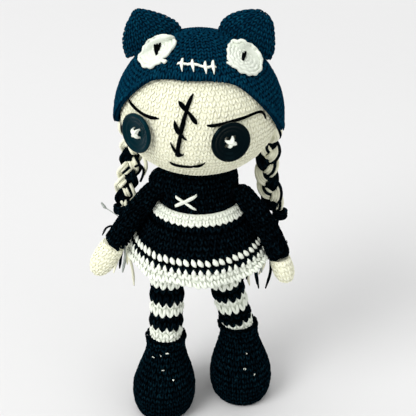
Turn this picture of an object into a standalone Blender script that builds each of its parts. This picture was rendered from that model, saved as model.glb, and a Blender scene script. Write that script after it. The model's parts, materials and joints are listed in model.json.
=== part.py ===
"""Crocheted doll with a cat-eared cap, button eyes, plaits, a flared skirt and boots.

The doll stands on its soles at z = 0 and faces -Y. Lengths are in metres, angles in radians.
"""
from math import acos, asin, cos, pi, radians, sin, sqrt

import bmesh
import bpy
from mathutils import Matrix, Vector

# Clearances
GAP = 0.0003
OVERRUN = 0.0040
SHIFT_ASIDE = 0.0038

# Boots
BOOT_RISE = 0.0400
FOOT_HALF_WIDTH = 0.0196
FOOT_HALF_LENGTH = 0.0232
ANKLE_RADIUS = 0.0117
ANKLE_SETBACK = 0.0114
CUFF_RISE = 0.0062
CUFF_WALL = 0.0019
CUFF_FLARE = 0.0010
BOOT_SHARES = (
    (0.00, 0.00, 0.79),
    (0.04, 0.00, 0.87),
    (0.11, 0.00, 0.935),
    (0.21, 0.00, 0.98),
    (0.34, 0.00, 1.00),
    (0.46, 0.07, 1.00),
    (0.57, 0.25, 1.00),
    (0.68, 0.50, 1.00),
    (0.79, 0.77, 1.00),
    (0.90, 0.95, 1.00),
    (1.00, 1.00, 1.00),
)

# Legs
LEG_RADIUS = 0.0097
LEG_RISE = 0.0680
LEFT_HIP_SPREAD = 0.0190
RIGHT_HIP_SPREAD = 0.0104
LEFT_FOOT_OUT = 0.0018
RIGHT_FOOT_OUT = 0.0149
LEFT_FOOT_AHEAD = 0.0065
RIGHT_FOOT_AHEAD = -0.0118
LEFT_TOE_TURN = radians(1.5)
RIGHT_TOE_TURN = radians(9)

# Torso
TORSO_RISE = 0.0472
TORSO_RADIUS = 0.0290
TORSO_WALL = 0.0026
NECK_RADIUS = 0.0134
NECK_RISE = 0.0055
TORSO_SHARES = (
    (0.000, 0.60),
    (0.050, 0.80),
    (0.150, 0.935),
    (0.280, 1.000),
    (0.345, 0.980),
    (0.420, 0.926),
    (0.500, 0.866),
    (0.600, 0.822),
    (0.690, 0.802),
    (0.770, 0.795),
    (0.850, 0.785),
    (0.930, 0.740),
    (0.985, 0.650),
    (1.000, 0.580),
)
TORSO_LINING_SHARES = (0.86, 0.70, 0.50, 0.30, 0.16, 0.10)

# Waist band, skirt and hem
BAND_RISE = 0.0100
BAND_WALL = 0.0021
WAIST_SHARE = 0.345
SKIRT_RISE = 0.0202
SKIRT_FLARE = 0.0088
SKIRT_WALL = 0.0021
HEM_RISE = 0.0074
HEM_FLARE = 0.0031
HEM_WALL = 0.0024
HEM_WAVE = 0.0010
HEM_FOLDS = 8
HEM_PHASE = radians(286)
HEM_LIFT = 0.0062
HEM_LIFT_PLACE = radians(63)
HEM_LIFT_SPREAD = radians(17)
SKIRT_WAVE_SHARES = (0.0, 0.0, 0.06, 0.16, 0.30, 0.46)
SKIRT_FLARE_SHARES = (0.0, 0.24, 0.46, 0.66, 0.84, 1.0)

# Chest stitches
CROSS_HALF_WIDTH = 0.0062
CROSS_HALF_HEIGHT = 0.0034
CROSS_TURN = radians(-14)
CROSS_LEVEL_SHARE = 0.685
CROSS_YARN = 0.0011

# Arms and hands
SHOULDER_SPREAD = 0.0264
SHOULDER_SHARE = 0.715
SLEEVE_RADIUS = 0.0066
ARM_DROP = 0.0595
LEFT_ARM_OUT = 0.0354
RIGHT_ARM_OUT = 0.0262
LEFT_ARM_BOW = 0.0022
RIGHT_ARM_BOW = 0.0052
ARM_AHEAD = 0.0120
LEFT_SLEEVE_SHARE = 0.61
RIGHT_SLEEVE_SHARE = 0.69
SLEEVE_SWELL_SHARES = (0.86, 0.94, 0.99, 1.00, 1.00, 1.00, 1.00, 1.02)
HAND_HALF_WIDTH = 0.0076
HAND_HALF_DEPTH = 0.0062
LEFT_HAND_TURN = radians(0)
RIGHT_HAND_TURN = radians(70)
SHOULDER_YARN = 0.0007
HAND_SHARES = (
    (0.00, 0.84),
    (0.16, 0.96),
    (0.40, 1.00),
    (0.64, 0.95),
    (0.82, 0.76),
    (0.94, 0.44),
)

# Head
HEAD_HALF_WIDTH = 0.0450
HEAD_HALF_DEPTH = 0.0442
HEAD_CROWN = 0.0462
HEAD_CHIN = 0.0325
HEAD_WALL = 0.0022
STUFFING_EASE = 0.0010
FACE_TURN = radians(-7)

# Cap
CAP_EASE = 0.0012
CAP_WALL = 0.0024
CAP_TURN = radians(3)
BRIM_TURN = radians(-3)
BRIM_FRONT_RISE = 0.0340
BRIM_SHARES = (
    (0, 1.00),
    (20, 0.99),
    (35, 0.93),
    (45, 0.81),
    (55, 0.58),
    (65, 0.30),
    (75, 0.02),
    (90, -0.22),
    (110, -0.38),
    (140, -0.50),
    (180, -0.56),
)

# Cap ears
EAR_HALF_WIDTH = 0.0172
LEFT_EAR_RISE = 0.0196
RIGHT_EAR_RISE = 0.0203
EAR_HALF_DEPTH = 0.0052
EAR_LEAN = radians(30)
EAR_BACK = 0.0065
EAR_SHARES = (
    (0.00, 1.00, 1.00),
    (0.22, 1.00, 1.00),
    (0.42, 0.95, 0.96),
    (0.60, 0.80, 0.88),
    (0.75, 0.62, 0.76),
    (0.88, 0.40, 0.58),
    (0.96, 0.22, 0.38),
)

# Cap eyes and mouth
PATCH_HALF_WIDTH = 0.0087
PATCH_HALF_HEIGHT = 0.0125
PATCH_THICKNESS = 0.0014
LEFT_PATCH_TURN = radians(-61)
LEFT_PATCH_SHARE = 0.855
RIGHT_PATCH_TURN = radians(60)
RIGHT_PATCH_SHARE = 0.818
PATCH_LEAN = radians(12)
PUPIL_HALF_WIDTH = 0.0016
PUPIL_HALF_HEIGHT = 0.0044
PUPIL_THICKNESS = 0.0011
CAP_MOUTH_YARN = 0.0010
CAP_MOUTH_SHARE = 0.818
CAP_MOUTH_TURN = radians(21)
CAP_TOOTH = 0.0034
CAP_TOOTH_SHARES = (-0.80, -0.24, 0.34, 0.84)

# Button eyes
BUTTON_RADIUS = 0.0112
BUTTON_RIM_RADIUS = 0.0014
BUTTON_BASE = 0.0018
BUTTON_DISH = 0.0006
BUTTON_HOLE_RADIUS = 0.0010
BUTTON_HOLE_REACH = 0.0024
LEFT_BUTTON_TURN = radians(-35)
RIGHT_BUTTON_TURN = radians(32)
BUTTON_LEVEL = 0.0030
BUTTON_THREAD = 0.0007
BUTTON_STANDOFF = 0.0013

# Face stitches, as degrees round the head and shares of its height over or under its widest row
FACE_YARN = 0.0006
CROSSING_YARN_SHARE = 0.9
LEFT_BROW_SHARES = ((19, 0.294), (26, 0.290), (33, 0.299), (40, 0.312), (46, 0.325))
RIGHT_BROW_SHARES = (
    (19, 0.277),
    (30, 0.273),
    (40, 0.273),
    (49, 0.273),
    (57, 0.264),
    (62, 0.225),
    (65, 0.165),
)
MOUTH_SHARES = ((-12, -0.363), (-5, -0.400), (3, -0.415), (10, -0.382), (16, -0.357))
SCAR_SHARES = ((6, 0.593), (4, 0.433), (1, 0.260), (-1, 0.087), (-3, -0.135))
CROSSING_SHARES = (
    ((-4, 0.519), (3, 0.411), (9, 0.303)),
    ((-7, 0.299), (-3, 0.212), (2, 0.117)),
    ((-9, 0.043), (-5, -0.037), (-1, -0.132)),
)

# Plaits
PLAIT_RADIUS = 0.0064
PLAIT_LENGTH = 0.0500
PLAIT_LOBE = 0.0011
PLAIT_TURNS = 5
LEFT_PLAIT_SPREAD = 0.0412
RIGHT_PLAIT_SPREAD = 0.0430
LEFT_PLAIT_OUT = 0.0083
RIGHT_PLAIT_OUT = 0.0052
LEFT_PLAIT_BOW = 0.0016
RIGHT_PLAIT_BOW = 0.0060
PLAIT_BACK = 0.0165
PLAIT_DROP = 0.0215
PLAIT_NECK = 0.0036
PLAIT_FLAT_SHARE = 0.86
PLAIT_TAPER_SHARE = 0.16
LOCK_DROP = 0.0126
LOCK_REACH = 0.0433
LOCK_THICKNESS = 0.0028
LOCK_WIDTH = 0.0064
TIE_YARN = 0.0011
TIE_REACH = 0.0042
TAIL_RADIUS = 0.0045
TAIL_LENGTH = 0.0440
TAIL_FLARE = 0.0012
TAIL_FLUTE_SHARE = 0.13
TAIL_SHARES = ((0.00, 0.56), (0.12, 0.56), (0.32, 0.86), (0.60, 1.00), (0.85, 1.02), (1.00, 0.90))

# Facets
ROUND_STEPS = 28
HEAD_RINGS = 13
STUFFING_RINGS = 10
LIMB_STEPS = 16
YARN_STEPS = 6
PLAIT_STEPS = 12
CLOTH_STEPS = 6 * HEM_FOLDS

# Places that follow from the sizes
HIP_LEVEL = BOOT_RISE + GAP + LEG_RISE
TORSO_LEVEL = HIP_LEVEL + LEG_RADIUS + GAP
SHELF_LEVEL = TORSO_LEVEL + TORSO_RISE
WAIST_LEVEL = TORSO_LEVEL + WAIST_SHARE * TORSO_RISE
SHOULDER_LEVEL = TORSO_LEVEL + SHOULDER_SHARE * TORSO_RISE
NECK_HOLE = (NECK_RADIUS + GAP) * HEAD_HALF_WIDTH / HEAD_HALF_DEPTH
CHIN_TO_HOLE = HEAD_CHIN * sqrt(1 - (NECK_HOLE / HEAD_HALF_WIDTH) ** 2)
HEAD_LEVEL = SHELF_LEVEL + GAP + CHIN_TO_HOLE
CAP_INNER = (HEAD_HALF_WIDTH + CAP_EASE, HEAD_HALF_DEPTH + CAP_EASE, HEAD_CROWN + GAP)
CAP_OUTER = tuple(reach + CAP_WALL for reach in CAP_INNER)
CAP_MOUTH_RISE = CAP_MOUTH_SHARE * CAP_OUTER[2]
LEFT_PATCH_RISE = LEFT_PATCH_SHARE * CAP_OUTER[2]
RIGHT_PATCH_RISE = RIGHT_PATCH_SHARE * CAP_OUTER[2]
HEAD_REACH = (HEAD_HALF_WIDTH, HEAD_HALF_DEPTH, HEAD_CROWN)
PLAIT_TOP = HEAD_LEVEL - PLAIT_DROP

COLOURS = {
    "cream_yarn": ((0.90, 0.87, 0.76, 1.0), 0.90),
    "white_yarn": ((0.93, 0.93, 0.90, 1.0), 0.90),
    "black_yarn": ((0.010, 0.011, 0.016, 1.0), 0.85),
    "cap_yarn": ((0.012, 0.034, 0.052, 1.0), 0.85),
    "boot_yarn": ((0.009, 0.017, 0.024, 1.0), 0.85),
    "black_thread": ((0.006, 0.006, 0.008, 1.0), 0.70),
    "button_plastic": ((0.008, 0.009, 0.012, 1.0), 0.25),
    "stuffing": ((0.92, 0.92, 0.92, 1.0), 0.95),
}


def clear_scene():
    for item in list(bpy.data.objects):
        bpy.data.objects.remove(item)


def material(name):
    found = bpy.data.materials.get(name)
    if found:
        return found
    colour, roughness = COLOURS[name]
    made = bpy.data.materials.new(name)
    made.use_nodes = True
    shader = made.node_tree.nodes["Principled BSDF"]
    shader.inputs["Base Color"].default_value = colour
    shader.inputs["Roughness"].default_value = roughness
    shader.inputs["Metallic"].default_value = 0.0
    made.diffuse_color = colour
    return made


def pivot(name, place, parent=None):
    """An empty on a joint's axis, at a place in the doll's frame."""
    empty = bpy.data.objects.new(name, None)
    bpy.context.scene.collection.objects.link(empty)
    empty["place"] = tuple(place)
    empty.location = Vector(place) - (Vector(parent["place"]) if parent else Vector())
    empty.parent = parent
    return empty


def keep(name, bm, colour, joint):
    """Turns a mesh in the doll's frame into an object whose origin is its joint."""
    bmesh.ops.recalc_face_normals(bm, faces=bm.faces[:])
    bmesh.ops.translate(bm, verts=bm.verts[:], vec=-Vector(joint["place"]))
    mesh = bpy.data.meshes.new(name)
    bm.to_mesh(mesh)
    bm.free()
    if mesh_volume(mesh) < 0:
        mesh.flip_normals()
    mesh.shade_smooth()
    mesh.set_sharp_from_angle(angle=radians(50))
    mesh.materials.append(material(colour))
    made = bpy.data.objects.new(name, mesh)
    bpy.context.scene.collection.objects.link(made)
    made.parent = joint
    return made


def mesh_volume(mesh):
    total = 0.0
    for face in mesh.polygons:
        corners = [mesh.vertices[index].co for index in face.vertices]
        for second, third in zip(corners[1:], corners[2:]):
            total += corners[0].dot(second.cross(third)) / 6
    return total


def cutter(name, bm, joint):
    made = keep(name, bm, "stuffing", joint)
    made.hide_render = True
    made.display_type = "WIRE"
    return made


def combine(target, other, operation):
    change = target.modifiers.new(operation.lower(), "BOOLEAN")
    change.object = other
    change.operation = operation
    change.solver = "EXACT"


def between(table, place):
    """A smooth curve through a table of (place, value) rows."""
    spots = [row[0] for row in table]
    values = [row[1] for row in table]
    place = min(max(place, spots[0]), spots[-1])
    index = max(i for i in range(len(spots) - 1) if spots[i] <= place)
    width = spots[index + 1] - spots[index]
    share = (place - spots[index]) / width

    def slope(i):
        low, high = max(i - 1, 0), min(i + 1, len(spots) - 1)
        return (values[high] - values[low]) / (spots[high] - spots[low])

    start, end = values[index], values[index + 1]
    rise = share * share * (3 - 2 * share)
    lead = share * (1 - share) ** 2 * slope(index)
    trail = share * share * (share - 1) * slope(index + 1)
    return start + (end - start) * rise + width * (lead + trail)


def skin(rings, first=None, last=None, looped=False):
    """Faces between closed rings of points, with a pole or a flat cap at each open end."""
    bm = bmesh.new()
    made = [[bm.verts.new(point) for point in ring] for ring in rings]
    pairs = list(zip(made, made[1:]))
    if looped:
        pairs.append((made[-1], made[0]))
    for lower, upper in pairs:
        for i in range(len(lower)):
            j = (i + 1) % len(lower)
            bm.faces.new((lower[i], lower[j], upper[j], upper[i]))
    if looped:
        return bm
    for ring, pole in ((made[0], first), (made[-1], last)):
        if pole is None:
            bm.faces.new(ring)
            continue
        tip = bm.verts.new(pole)
        for i in range(len(ring)):
            bm.faces.new((ring[i], ring[(i + 1) % len(ring)], tip))
    return bm


def circle(centre, across, up, half_width, half_height, steps):
    turns = [2 * pi * i / steps for i in range(steps)]
    return [centre + across * half_width * cos(t) + up * half_height * sin(t) for t in turns]


def turned(profile, steps):
    """A shape turned about the Z axis from (radius, height) points; zero radius is a pole."""
    bm = bmesh.new()
    points = [bm.verts.new((radius, 0, height)) for radius, height in profile]
    for lower, upper in zip(points, points[1:]):
        bm.edges.new((lower, upper))
    closed = profile[0][0] > 0
    if closed:
        bm.edges.new((points[-1], points[0]))
    bmesh.ops.spin(
        bm, geom=bm.verts[:] + bm.edges[:], cent=(0, 0, 0), axis=(0, 0, 1),
        angle=2 * pi, steps=steps, use_merge=True,
    )
    bmesh.ops.remove_doubles(bm, verts=bm.verts[:], dist=GAP / 30)
    return bm


def tube(path, radii, steps, first_round=True, last_round=True):
    """A rounded yarn or limb along points, with a radius at each point."""
    points = [Vector(point) for point in path]
    rings = []
    side = None
    for i, point in enumerate(points):
        ahead = points[min(i + 1, len(points) - 1)] - points[max(i - 1, 0)]
        ahead.normalize()
        if side is None:
            start = Vector((0, 1, 0)) if abs(ahead.y) < 0.9 else Vector((1, 0, 0))
            side = (start - ahead * start.dot(ahead)).normalized()
        side = (side - ahead * side.dot(ahead)).normalized()
        rings.append((point, side.copy(), ahead.cross(side), radii[i], ahead))
    body = [circle(p, s, u, r, r, steps) for p, s, u, r, _ in rings]
    first = last = None
    for at_start in (True, False):
        if not (first_round if at_start else last_round):
            continue
        point, across, up, radius, ahead = rings[0] if at_start else rings[-1]
        out = -ahead if at_start else ahead
        domes = []
        for angle in (radians(35), radians(66)):
            centre = point + out * radius * sin(angle)
            domes.append(circle(centre, across, up, radius * cos(angle), radius * cos(angle), steps))
        if at_start:
            body = domes[::-1] + body
            first = point + out * radius
        else:
            body = body + domes
            last = point + out * radius
    return skin(body, first, last)


def on_shell(reach, azimuth, rise, lift):
    """A point on the upper head or cap; azimuth 0 is the front, positive towards +X."""
    lower = HEAD_CHIN if rise < 0 else reach[2]
    tilt = asin(max(-1, min(1, rise / lower)))
    x = reach[0] * cos(tilt) * sin(azimuth)
    y = -reach[1] * cos(tilt) * cos(azimuth)
    normal = Vector((x / reach[0] ** 2, y / reach[1] ** 2, rise / lower ** 2)).normalized()
    return Vector((x, y, HEAD_LEVEL + rise)) + normal * lift, normal


def torso_radius(level):
    return TORSO_RADIUS * between(TORSO_SHARES, (level - TORSO_LEVEL) / TORSO_RISE)


def side_name(sign, piece):
    return ("left_" if sign < 0 else "right_") + piece


def make_torso(doll, shoulders):
    outer = [(0, TORSO_LEVEL)]
    for share, _ in TORSO_SHARES:
        level = TORSO_LEVEL + share * TORSO_RISE
        outer.append((torso_radius(level), level))
    neck_top = SHELF_LEVEL + NECK_RISE
    outer += [(NECK_RADIUS, SHELF_LEVEL), (NECK_RADIUS, neck_top)]
    throat = NECK_RADIUS - TORSO_WALL
    inner = [(throat, neck_top), (throat, SHELF_LEVEL - TORSO_WALL)]
    core = [(throat - GAP, neck_top), (throat - GAP, SHELF_LEVEL - TORSO_WALL)]
    for share in TORSO_LINING_SHARES:
        level = TORSO_LEVEL + share * TORSO_RISE
        inner.append((torso_radius(level) - TORSO_WALL, level))
        core.append((torso_radius(level) - TORSO_WALL - GAP, level))
    floor = TORSO_LEVEL + TORSO_WALL
    inner[-1] = (torso_radius(floor) - TORSO_WALL, floor)
    core[-1] = (torso_radius(floor) - TORSO_WALL - 2 * GAP, floor + GAP)
    torso = keep("torso", turned(outer + inner + [(0, floor)], ROUND_STEPS), "black_yarn", doll)
    for shoulder in shoulders:
        combine(torso, shoulder, "DIFFERENCE")
    core = [(0, neck_top)] + core + [(0, floor + GAP)]
    keep("torso_stuffing", turned(core, ROUND_STEPS + 4), "stuffing", doll)


def make_waist_band(doll):
    bottom, top = WAIST_LEVEL, WAIST_LEVEL + BAND_RISE
    levels = [bottom + share * BAND_RISE for share in (0, 0.25, 0.5, 0.75, 1)]
    inner = [(torso_radius(level) + GAP, level) for level in levels]
    bulge = [0.55, 1.0, 0.9, 1.0, 0.55]
    outer = [(radius + BAND_WALL * b, level) for (radius, level), b in zip(inner, bulge)]
    keep("waist_band", turned(inner + outer[::-1], ROUND_STEPS), "white_yarn", doll)


def fold(azimuth):
    return cos(HEM_FOLDS * azimuth + HEM_PHASE)


def hem_lift(azimuth):
    apart = (azimuth - HEM_LIFT_PLACE + pi) % (2 * pi) - pi
    return HEM_LIFT * max(0.0, cos(min(pi / 2, abs(apart) / HEM_LIFT_SPREAD * pi / 4))) ** 4


def cloth_ring(radius, level, wave, lift_share, wall):
    ring = []
    for i in range(CLOTH_STEPS):
        azimuth = 2 * pi * i / CLOTH_STEPS
        lift = hem_lift(azimuth) * lift_share
        reach = radius + wall + HEM_WAVE * wave * fold(azimuth) + lift * 0.5
        ring.append(Vector((reach * sin(azimuth), -reach * cos(azimuth), level + lift)))
    return ring


def make_skirt(doll):
    top = WAIST_LEVEL - GAP
    waist = torso_radius(top) + GAP
    outer, inner = [], []
    count = len(SKIRT_FLARE_SHARES) - 1
    for i, flare in enumerate(SKIRT_FLARE_SHARES):
        level = top - SKIRT_RISE * i / count
        radius = waist + SKIRT_FLARE * flare
        wave = SKIRT_WAVE_SHARES[i]
        lift = max(0.0, i / count - 0.6) * 0.5
        outer.append(cloth_ring(radius, level, wave, lift, SKIRT_WALL))
        inner.append(cloth_ring(radius, level, wave, lift, 0))
    keep("skirt", skin(outer + inner[::-1], looped=True), "black_yarn", doll)

    hem_top = top - SKIRT_RISE - GAP
    radius = waist + SKIRT_FLARE
    outer, inner = [], []
    for share, wave, lift in ((0, 0.46, 0.2), (0.35, 0.70, 0.45), (0.70, 1.0, 0.75), (1.0, 1.25, 1.0)):
        level = hem_top - HEM_RISE * share
        reach = radius + HEM_FLARE * share
        outer.append(cloth_ring(reach, level, wave, lift, HEM_WALL))
        inner.append(cloth_ring(reach, level, wave, lift, 0))
    keep("hem_frill", skin(outer + inner[::-1], looped=True), "white_yarn", doll)


def make_chest_cross(doll):
    middle = TORSO_LEVEL + CROSS_LEVEL_SHARE * TORSO_RISE
    bars = []
    for slant in (-1, 1):
        path = []
        for share in (-1, -0.5, 0, 0.5, 1):
            level = middle + slant * share * CROSS_HALF_HEIGHT
            reach = torso_radius(level) + GAP + CROSS_YARN
            azimuth = CROSS_TURN + share * CROSS_HALF_WIDTH / TORSO_RADIUS
            path.append((reach * sin(azimuth), -reach * cos(azimuth), level))
        bars.append(tube(path, [CROSS_YARN] * len(path), YARN_STEPS))
    cross = keep("chest_cross", bars[0], "white_yarn", doll)
    combine(cross, cutter("chest_cross_second_bar", bars[1], doll), "UNION")


def arm_point(sign, share):
    out, bow = (LEFT_ARM_OUT, LEFT_ARM_BOW) if sign < 0 else (RIGHT_ARM_OUT, RIGHT_ARM_BOW)
    aside = SHOULDER_SPREAD + out * share + bow * sin(pi * share)
    return Vector((sign * aside, -ARM_AHEAD, SHOULDER_LEVEL - ARM_DROP * share))


def shoulder_cutter(doll, sign):
    reach = SLEEVE_RADIUS * SLEEVE_SWELL_SHARES[0] + 2 * SHOULDER_YARN + 2 * GAP
    bm = bmesh.new()
    bmesh.ops.create_uvsphere(bm, u_segments=16, v_segments=12, radius=reach)
    bmesh.ops.translate(bm, verts=bm.verts[:], vec=arm_point(sign, 0))
    return cutter(side_name(sign, "shoulder_hollow"), bm, doll)


def make_arm(doll, sign):
    shoulder = arm_point(sign, 0)
    swing = pivot(side_name(sign, "shoulder_swing"), shoulder, doll)
    lift = pivot(side_name(sign, "shoulder_raise"), shoulder, swing)
    ride = SLEEVE_RADIUS * SLEEVE_SWELL_SHARES[0] + GAP + SHOULDER_YARN
    ring_radius = ride * sin(radians(45))
    ring_offset = ride * cos(radians(45))
    inward = Vector((-sign * SHOULDER_SPREAD, ARM_AHEAD, 0)).normalized()
    upward = Vector((0, 0, 1))
    centre = shoulder + inward * ring_offset
    rings = []
    for i in range(LIMB_STEPS):
        turn = 2 * pi * i / LIMB_STEPS
        out = upward.cross(inward) * cos(turn) + upward * sin(turn)
        middle = centre + out * ring_radius
        rings.append(circle(middle, out, inward, SHOULDER_YARN, SHOULDER_YARN, YARN_STEPS))
    keep(side_name(sign, "shoulder_stitches"), skin(rings, looped=True), "black_thread", swing)

    sleeve_share = LEFT_SLEEVE_SHARE if sign < 0 else RIGHT_SLEEVE_SHARE
    count = len(SLEEVE_SWELL_SHARES)
    path = [arm_point(sign, sleeve_share * i / (count - 1)) for i in range(count)]
    radii = [SLEEVE_RADIUS * swell for swell in SLEEVE_SWELL_SHARES]
    keep(side_name(sign, "sleeve"), tube(path, radii, LIMB_STEPS, last_round=False), "black_yarn", lift)

    start = arm_point(sign, sleeve_share)
    ahead = (path[-1] - path[-2]).normalized()
    length = (arm_point(sign, 1) - start).length
    palm = Matrix.Rotation(LEFT_HAND_TURN if sign < 0 else RIGHT_HAND_TURN, 3, ahead)
    broad = palm @ ahead.cross(Vector((0, 1, 0)))
    thick = ahead.cross(broad)
    rings = []
    for share, swell in HAND_SHARES:
        centre = start + ahead * (1.6 * GAP + length * share)
        wide, deep = HAND_HALF_WIDTH * swell, HAND_HALF_DEPTH * swell
        rings.append(circle(centre, broad, thick, wide, deep, LIMB_STEPS))
    tip = start + ahead * (1.6 * GAP + length)
    keep(side_name(sign, "hand"), skin(rings, last=tip), "cream_yarn", lift)


def leg_point(sign, share):
    """The leg's centre line, from the hip at 0 to the top of the boot at 1."""
    if sign < 0:
        spread, out, front = LEFT_HIP_SPREAD, LEFT_FOOT_OUT, LEFT_FOOT_AHEAD
    else:
        spread, out, front = RIGHT_HIP_SPREAD, RIGHT_FOOT_OUT, RIGHT_FOOT_AHEAD
    return Vector((sign * (spread + out * share), -front * share, HIP_LEVEL - LEG_RISE * share))


def make_leg(doll, sign):
    hip = pivot(side_name(sign, "hip"), leg_point(sign, 0), doll)
    across, along = Vector((1, 0, 0)), Vector((0, 1, 0))
    rings = []
    for angle in (radians(66), radians(42), radians(20)):
        centre = leg_point(sign, 0) + Vector((0, 0, LEG_RADIUS * sin(angle)))
        radius = LEG_RADIUS * cos(angle)
        rings.append(circle(centre, across, along, radius, radius, LIMB_STEPS))
    for share in (0, 0.2, 0.4, 0.6, 0.8, 1):
        rings.append(circle(leg_point(sign, share), across, along, LEG_RADIUS, LEG_RADIUS, LIMB_STEPS))
    top = leg_point(sign, 0) + Vector((0, 0, LEG_RADIUS))
    keep(side_name(sign, "leg"), skin(rings, first=top), "black_yarn", hip)

    ankle = leg_point(sign, 1)
    cuff_slope = (leg_point(sign, 0) - ankle) / LEG_RISE
    inner, outer = [], []
    for share in (0, 0.5, 1):
        rise = GAP + CUFF_RISE * share
        centre = Vector((ankle.x, ankle.y, BOOT_RISE)) + cuff_slope * (rise - GAP)
        centre.z = BOOT_RISE + rise
        hole = LEG_RADIUS + GAP
        inner.append(circle(centre, across, along, hole, hole, LIMB_STEPS))
        reach = hole + CUFF_WALL + CUFF_FLARE * share
        outer.append(circle(centre, across, along, reach, reach, LIMB_STEPS))
    keep(side_name(sign, "boot_cuff"), skin(outer + inner[::-1], looped=True), "boot_yarn", hip)

    turn = -sign * (LEFT_TOE_TURN if sign < 0 else RIGHT_TOE_TURN)
    ahead = Vector((-sin(turn), -cos(turn), 0))
    beside = Vector((cos(turn), -sin(turn), 0))
    rings = []
    for share, blend, swell in BOOT_SHARES:
        half_width = swell * (FOOT_HALF_WIDTH + (ANKLE_RADIUS - FOOT_HALF_WIDTH) * blend)
        half_length = swell * (FOOT_HALF_LENGTH + (ANKLE_RADIUS - FOOT_HALF_LENGTH) * blend)
        centre = Vector((ankle.x, ankle.y, BOOT_RISE * share)) + ahead * ANKLE_SETBACK * (1 - blend)
        rings.append(circle(centre, beside, ahead, half_width, half_length, LIMB_STEPS + 4))
    keep(side_name(sign, "boot"), skin(rings), "boot_yarn", hip)


def head_profile(radius, crown, chin, low, count):
    """Points from a low angle up to the pole of a ball that is taller above its middle than below."""
    points = []
    for i in range(count + 1):
        angle = low + (pi / 2 - low) * i / count
        rise = (crown if angle > 0 else chin) * sin(angle)
        points.append((radius * cos(angle) if i < count else 0, HEAD_LEVEL + rise))
    return points


def make_head(head):
    low = -acos(NECK_HOLE / HEAD_HALF_WIDTH)
    outer = head_profile(HEAD_HALF_WIDTH, HEAD_CROWN, HEAD_CHIN, low, HEAD_RINGS)
    half = HEAD_HALF_WIDTH - HEAD_WALL
    low = -acos(NECK_HOLE / half)
    inner = head_profile(half, HEAD_CROWN - HEAD_WALL, HEAD_CHIN - HEAD_WALL, low, STUFFING_RINGS)
    keep("head", squashed(turned(outer[::-1] + inner, ROUND_STEPS)), "cream_yarn", head)

    slack = HEAD_WALL + STUFFING_EASE
    neck_top = SHELF_LEVEL + NECK_RISE + GAP
    low = -asin((HEAD_LEVEL - neck_top) / (HEAD_CHIN - slack))
    core = head_profile(
        HEAD_HALF_WIDTH - slack, HEAD_CROWN - slack, HEAD_CHIN - slack, low, STUFFING_RINGS,
    )
    keep("head_stuffing", squashed(turned([(0, neck_top)] + core, ROUND_STEPS)), "stuffing", head)


def squashed(bm):
    bmesh.ops.scale(bm, verts=bm.verts[:], vec=(1, HEAD_HALF_DEPTH / HEAD_HALF_WIDTH, 1))
    return bm


def brim_rise(azimuth):
    """Height of the cap's edge over the head's widest row."""
    away = abs((azimuth - BRIM_TURN + pi) % (2 * pi) - pi) * 180 / pi
    share = between(BRIM_SHARES, away)
    return BRIM_FRONT_RISE * share


def make_cap(cap):
    rows = 9
    surfaces = []
    for reach in (CAP_OUTER, CAP_INNER):
        rings = []
        for row in range(1, rows + 1):
            ring = []
            for i in range(ROUND_STEPS + 8):
                azimuth = 2 * pi * i / (ROUND_STEPS + 8)
                edge = brim_rise(azimuth)
                end = asin(edge / reach[2]) if edge > 0 else edge / reach[2]
                angle = pi / 2 + (end - pi / 2) * row / rows
                spread = cos(angle) if angle > 0 else 1
                rise = reach[2] * (sin(angle) if angle > 0 else angle)
                ring.append(Vector((
                    reach[0] * spread * sin(azimuth),
                    -reach[1] * spread * cos(azimuth),
                    HEAD_LEVEL + rise,
                )))
            rings.append(ring)
        surfaces.append(rings)
    outer, inner = surfaces
    first = Vector((0, 0, HEAD_LEVEL + CAP_OUTER[2]))
    last = Vector((0, 0, HEAD_LEVEL + CAP_INNER[2]))
    keep("cap", skin(outer + inner[::-1], first=first, last=last), "cap_yarn", cap)


def cap_hollow(cap):
    """The cap's outer skin, swelled by the gap, which trims the ears to fit on it."""
    bm = bmesh.new()
    bmesh.ops.create_uvsphere(bm, u_segments=40, v_segments=24, radius=1)
    reach = [length + GAP for length in CAP_OUTER]
    bmesh.ops.scale(bm, verts=bm.verts[:], vec=reach)
    bmesh.ops.translate(bm, verts=bm.verts[:], vec=(0, 0, HEAD_LEVEL))
    return cutter("cap_hollow", bm, cap)


def make_ear(cap, sign, hollow):
    lean = Matrix.Rotation(sign * EAR_LEAN, 3, "Y")
    up = lean @ Vector((0, 0, 1))
    across = lean @ Vector((1, 0, 0))
    depth = Vector((0, 1, 0))
    root = Vector((0, EAR_BACK, HEAD_LEVEL)) + up * (CAP_OUTER[0] - OVERRUN)
    rise = (LEFT_EAR_RISE if sign < 0 else RIGHT_EAR_RISE) + OVERRUN
    rings = []
    for share, wide, deep in EAR_SHARES:
        centre = root + up * rise * share
        half_width, half_depth = EAR_HALF_WIDTH * wide, EAR_HALF_DEPTH * deep
        rings.append(circle(centre, across, depth, half_width, half_depth, LIMB_STEPS + 4))
    ear = keep(side_name(sign, "cap_ear"), skin(rings, last=root + up * rise), "cap_yarn", cap)
    combine(ear, hollow, "DIFFERENCE")


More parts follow.
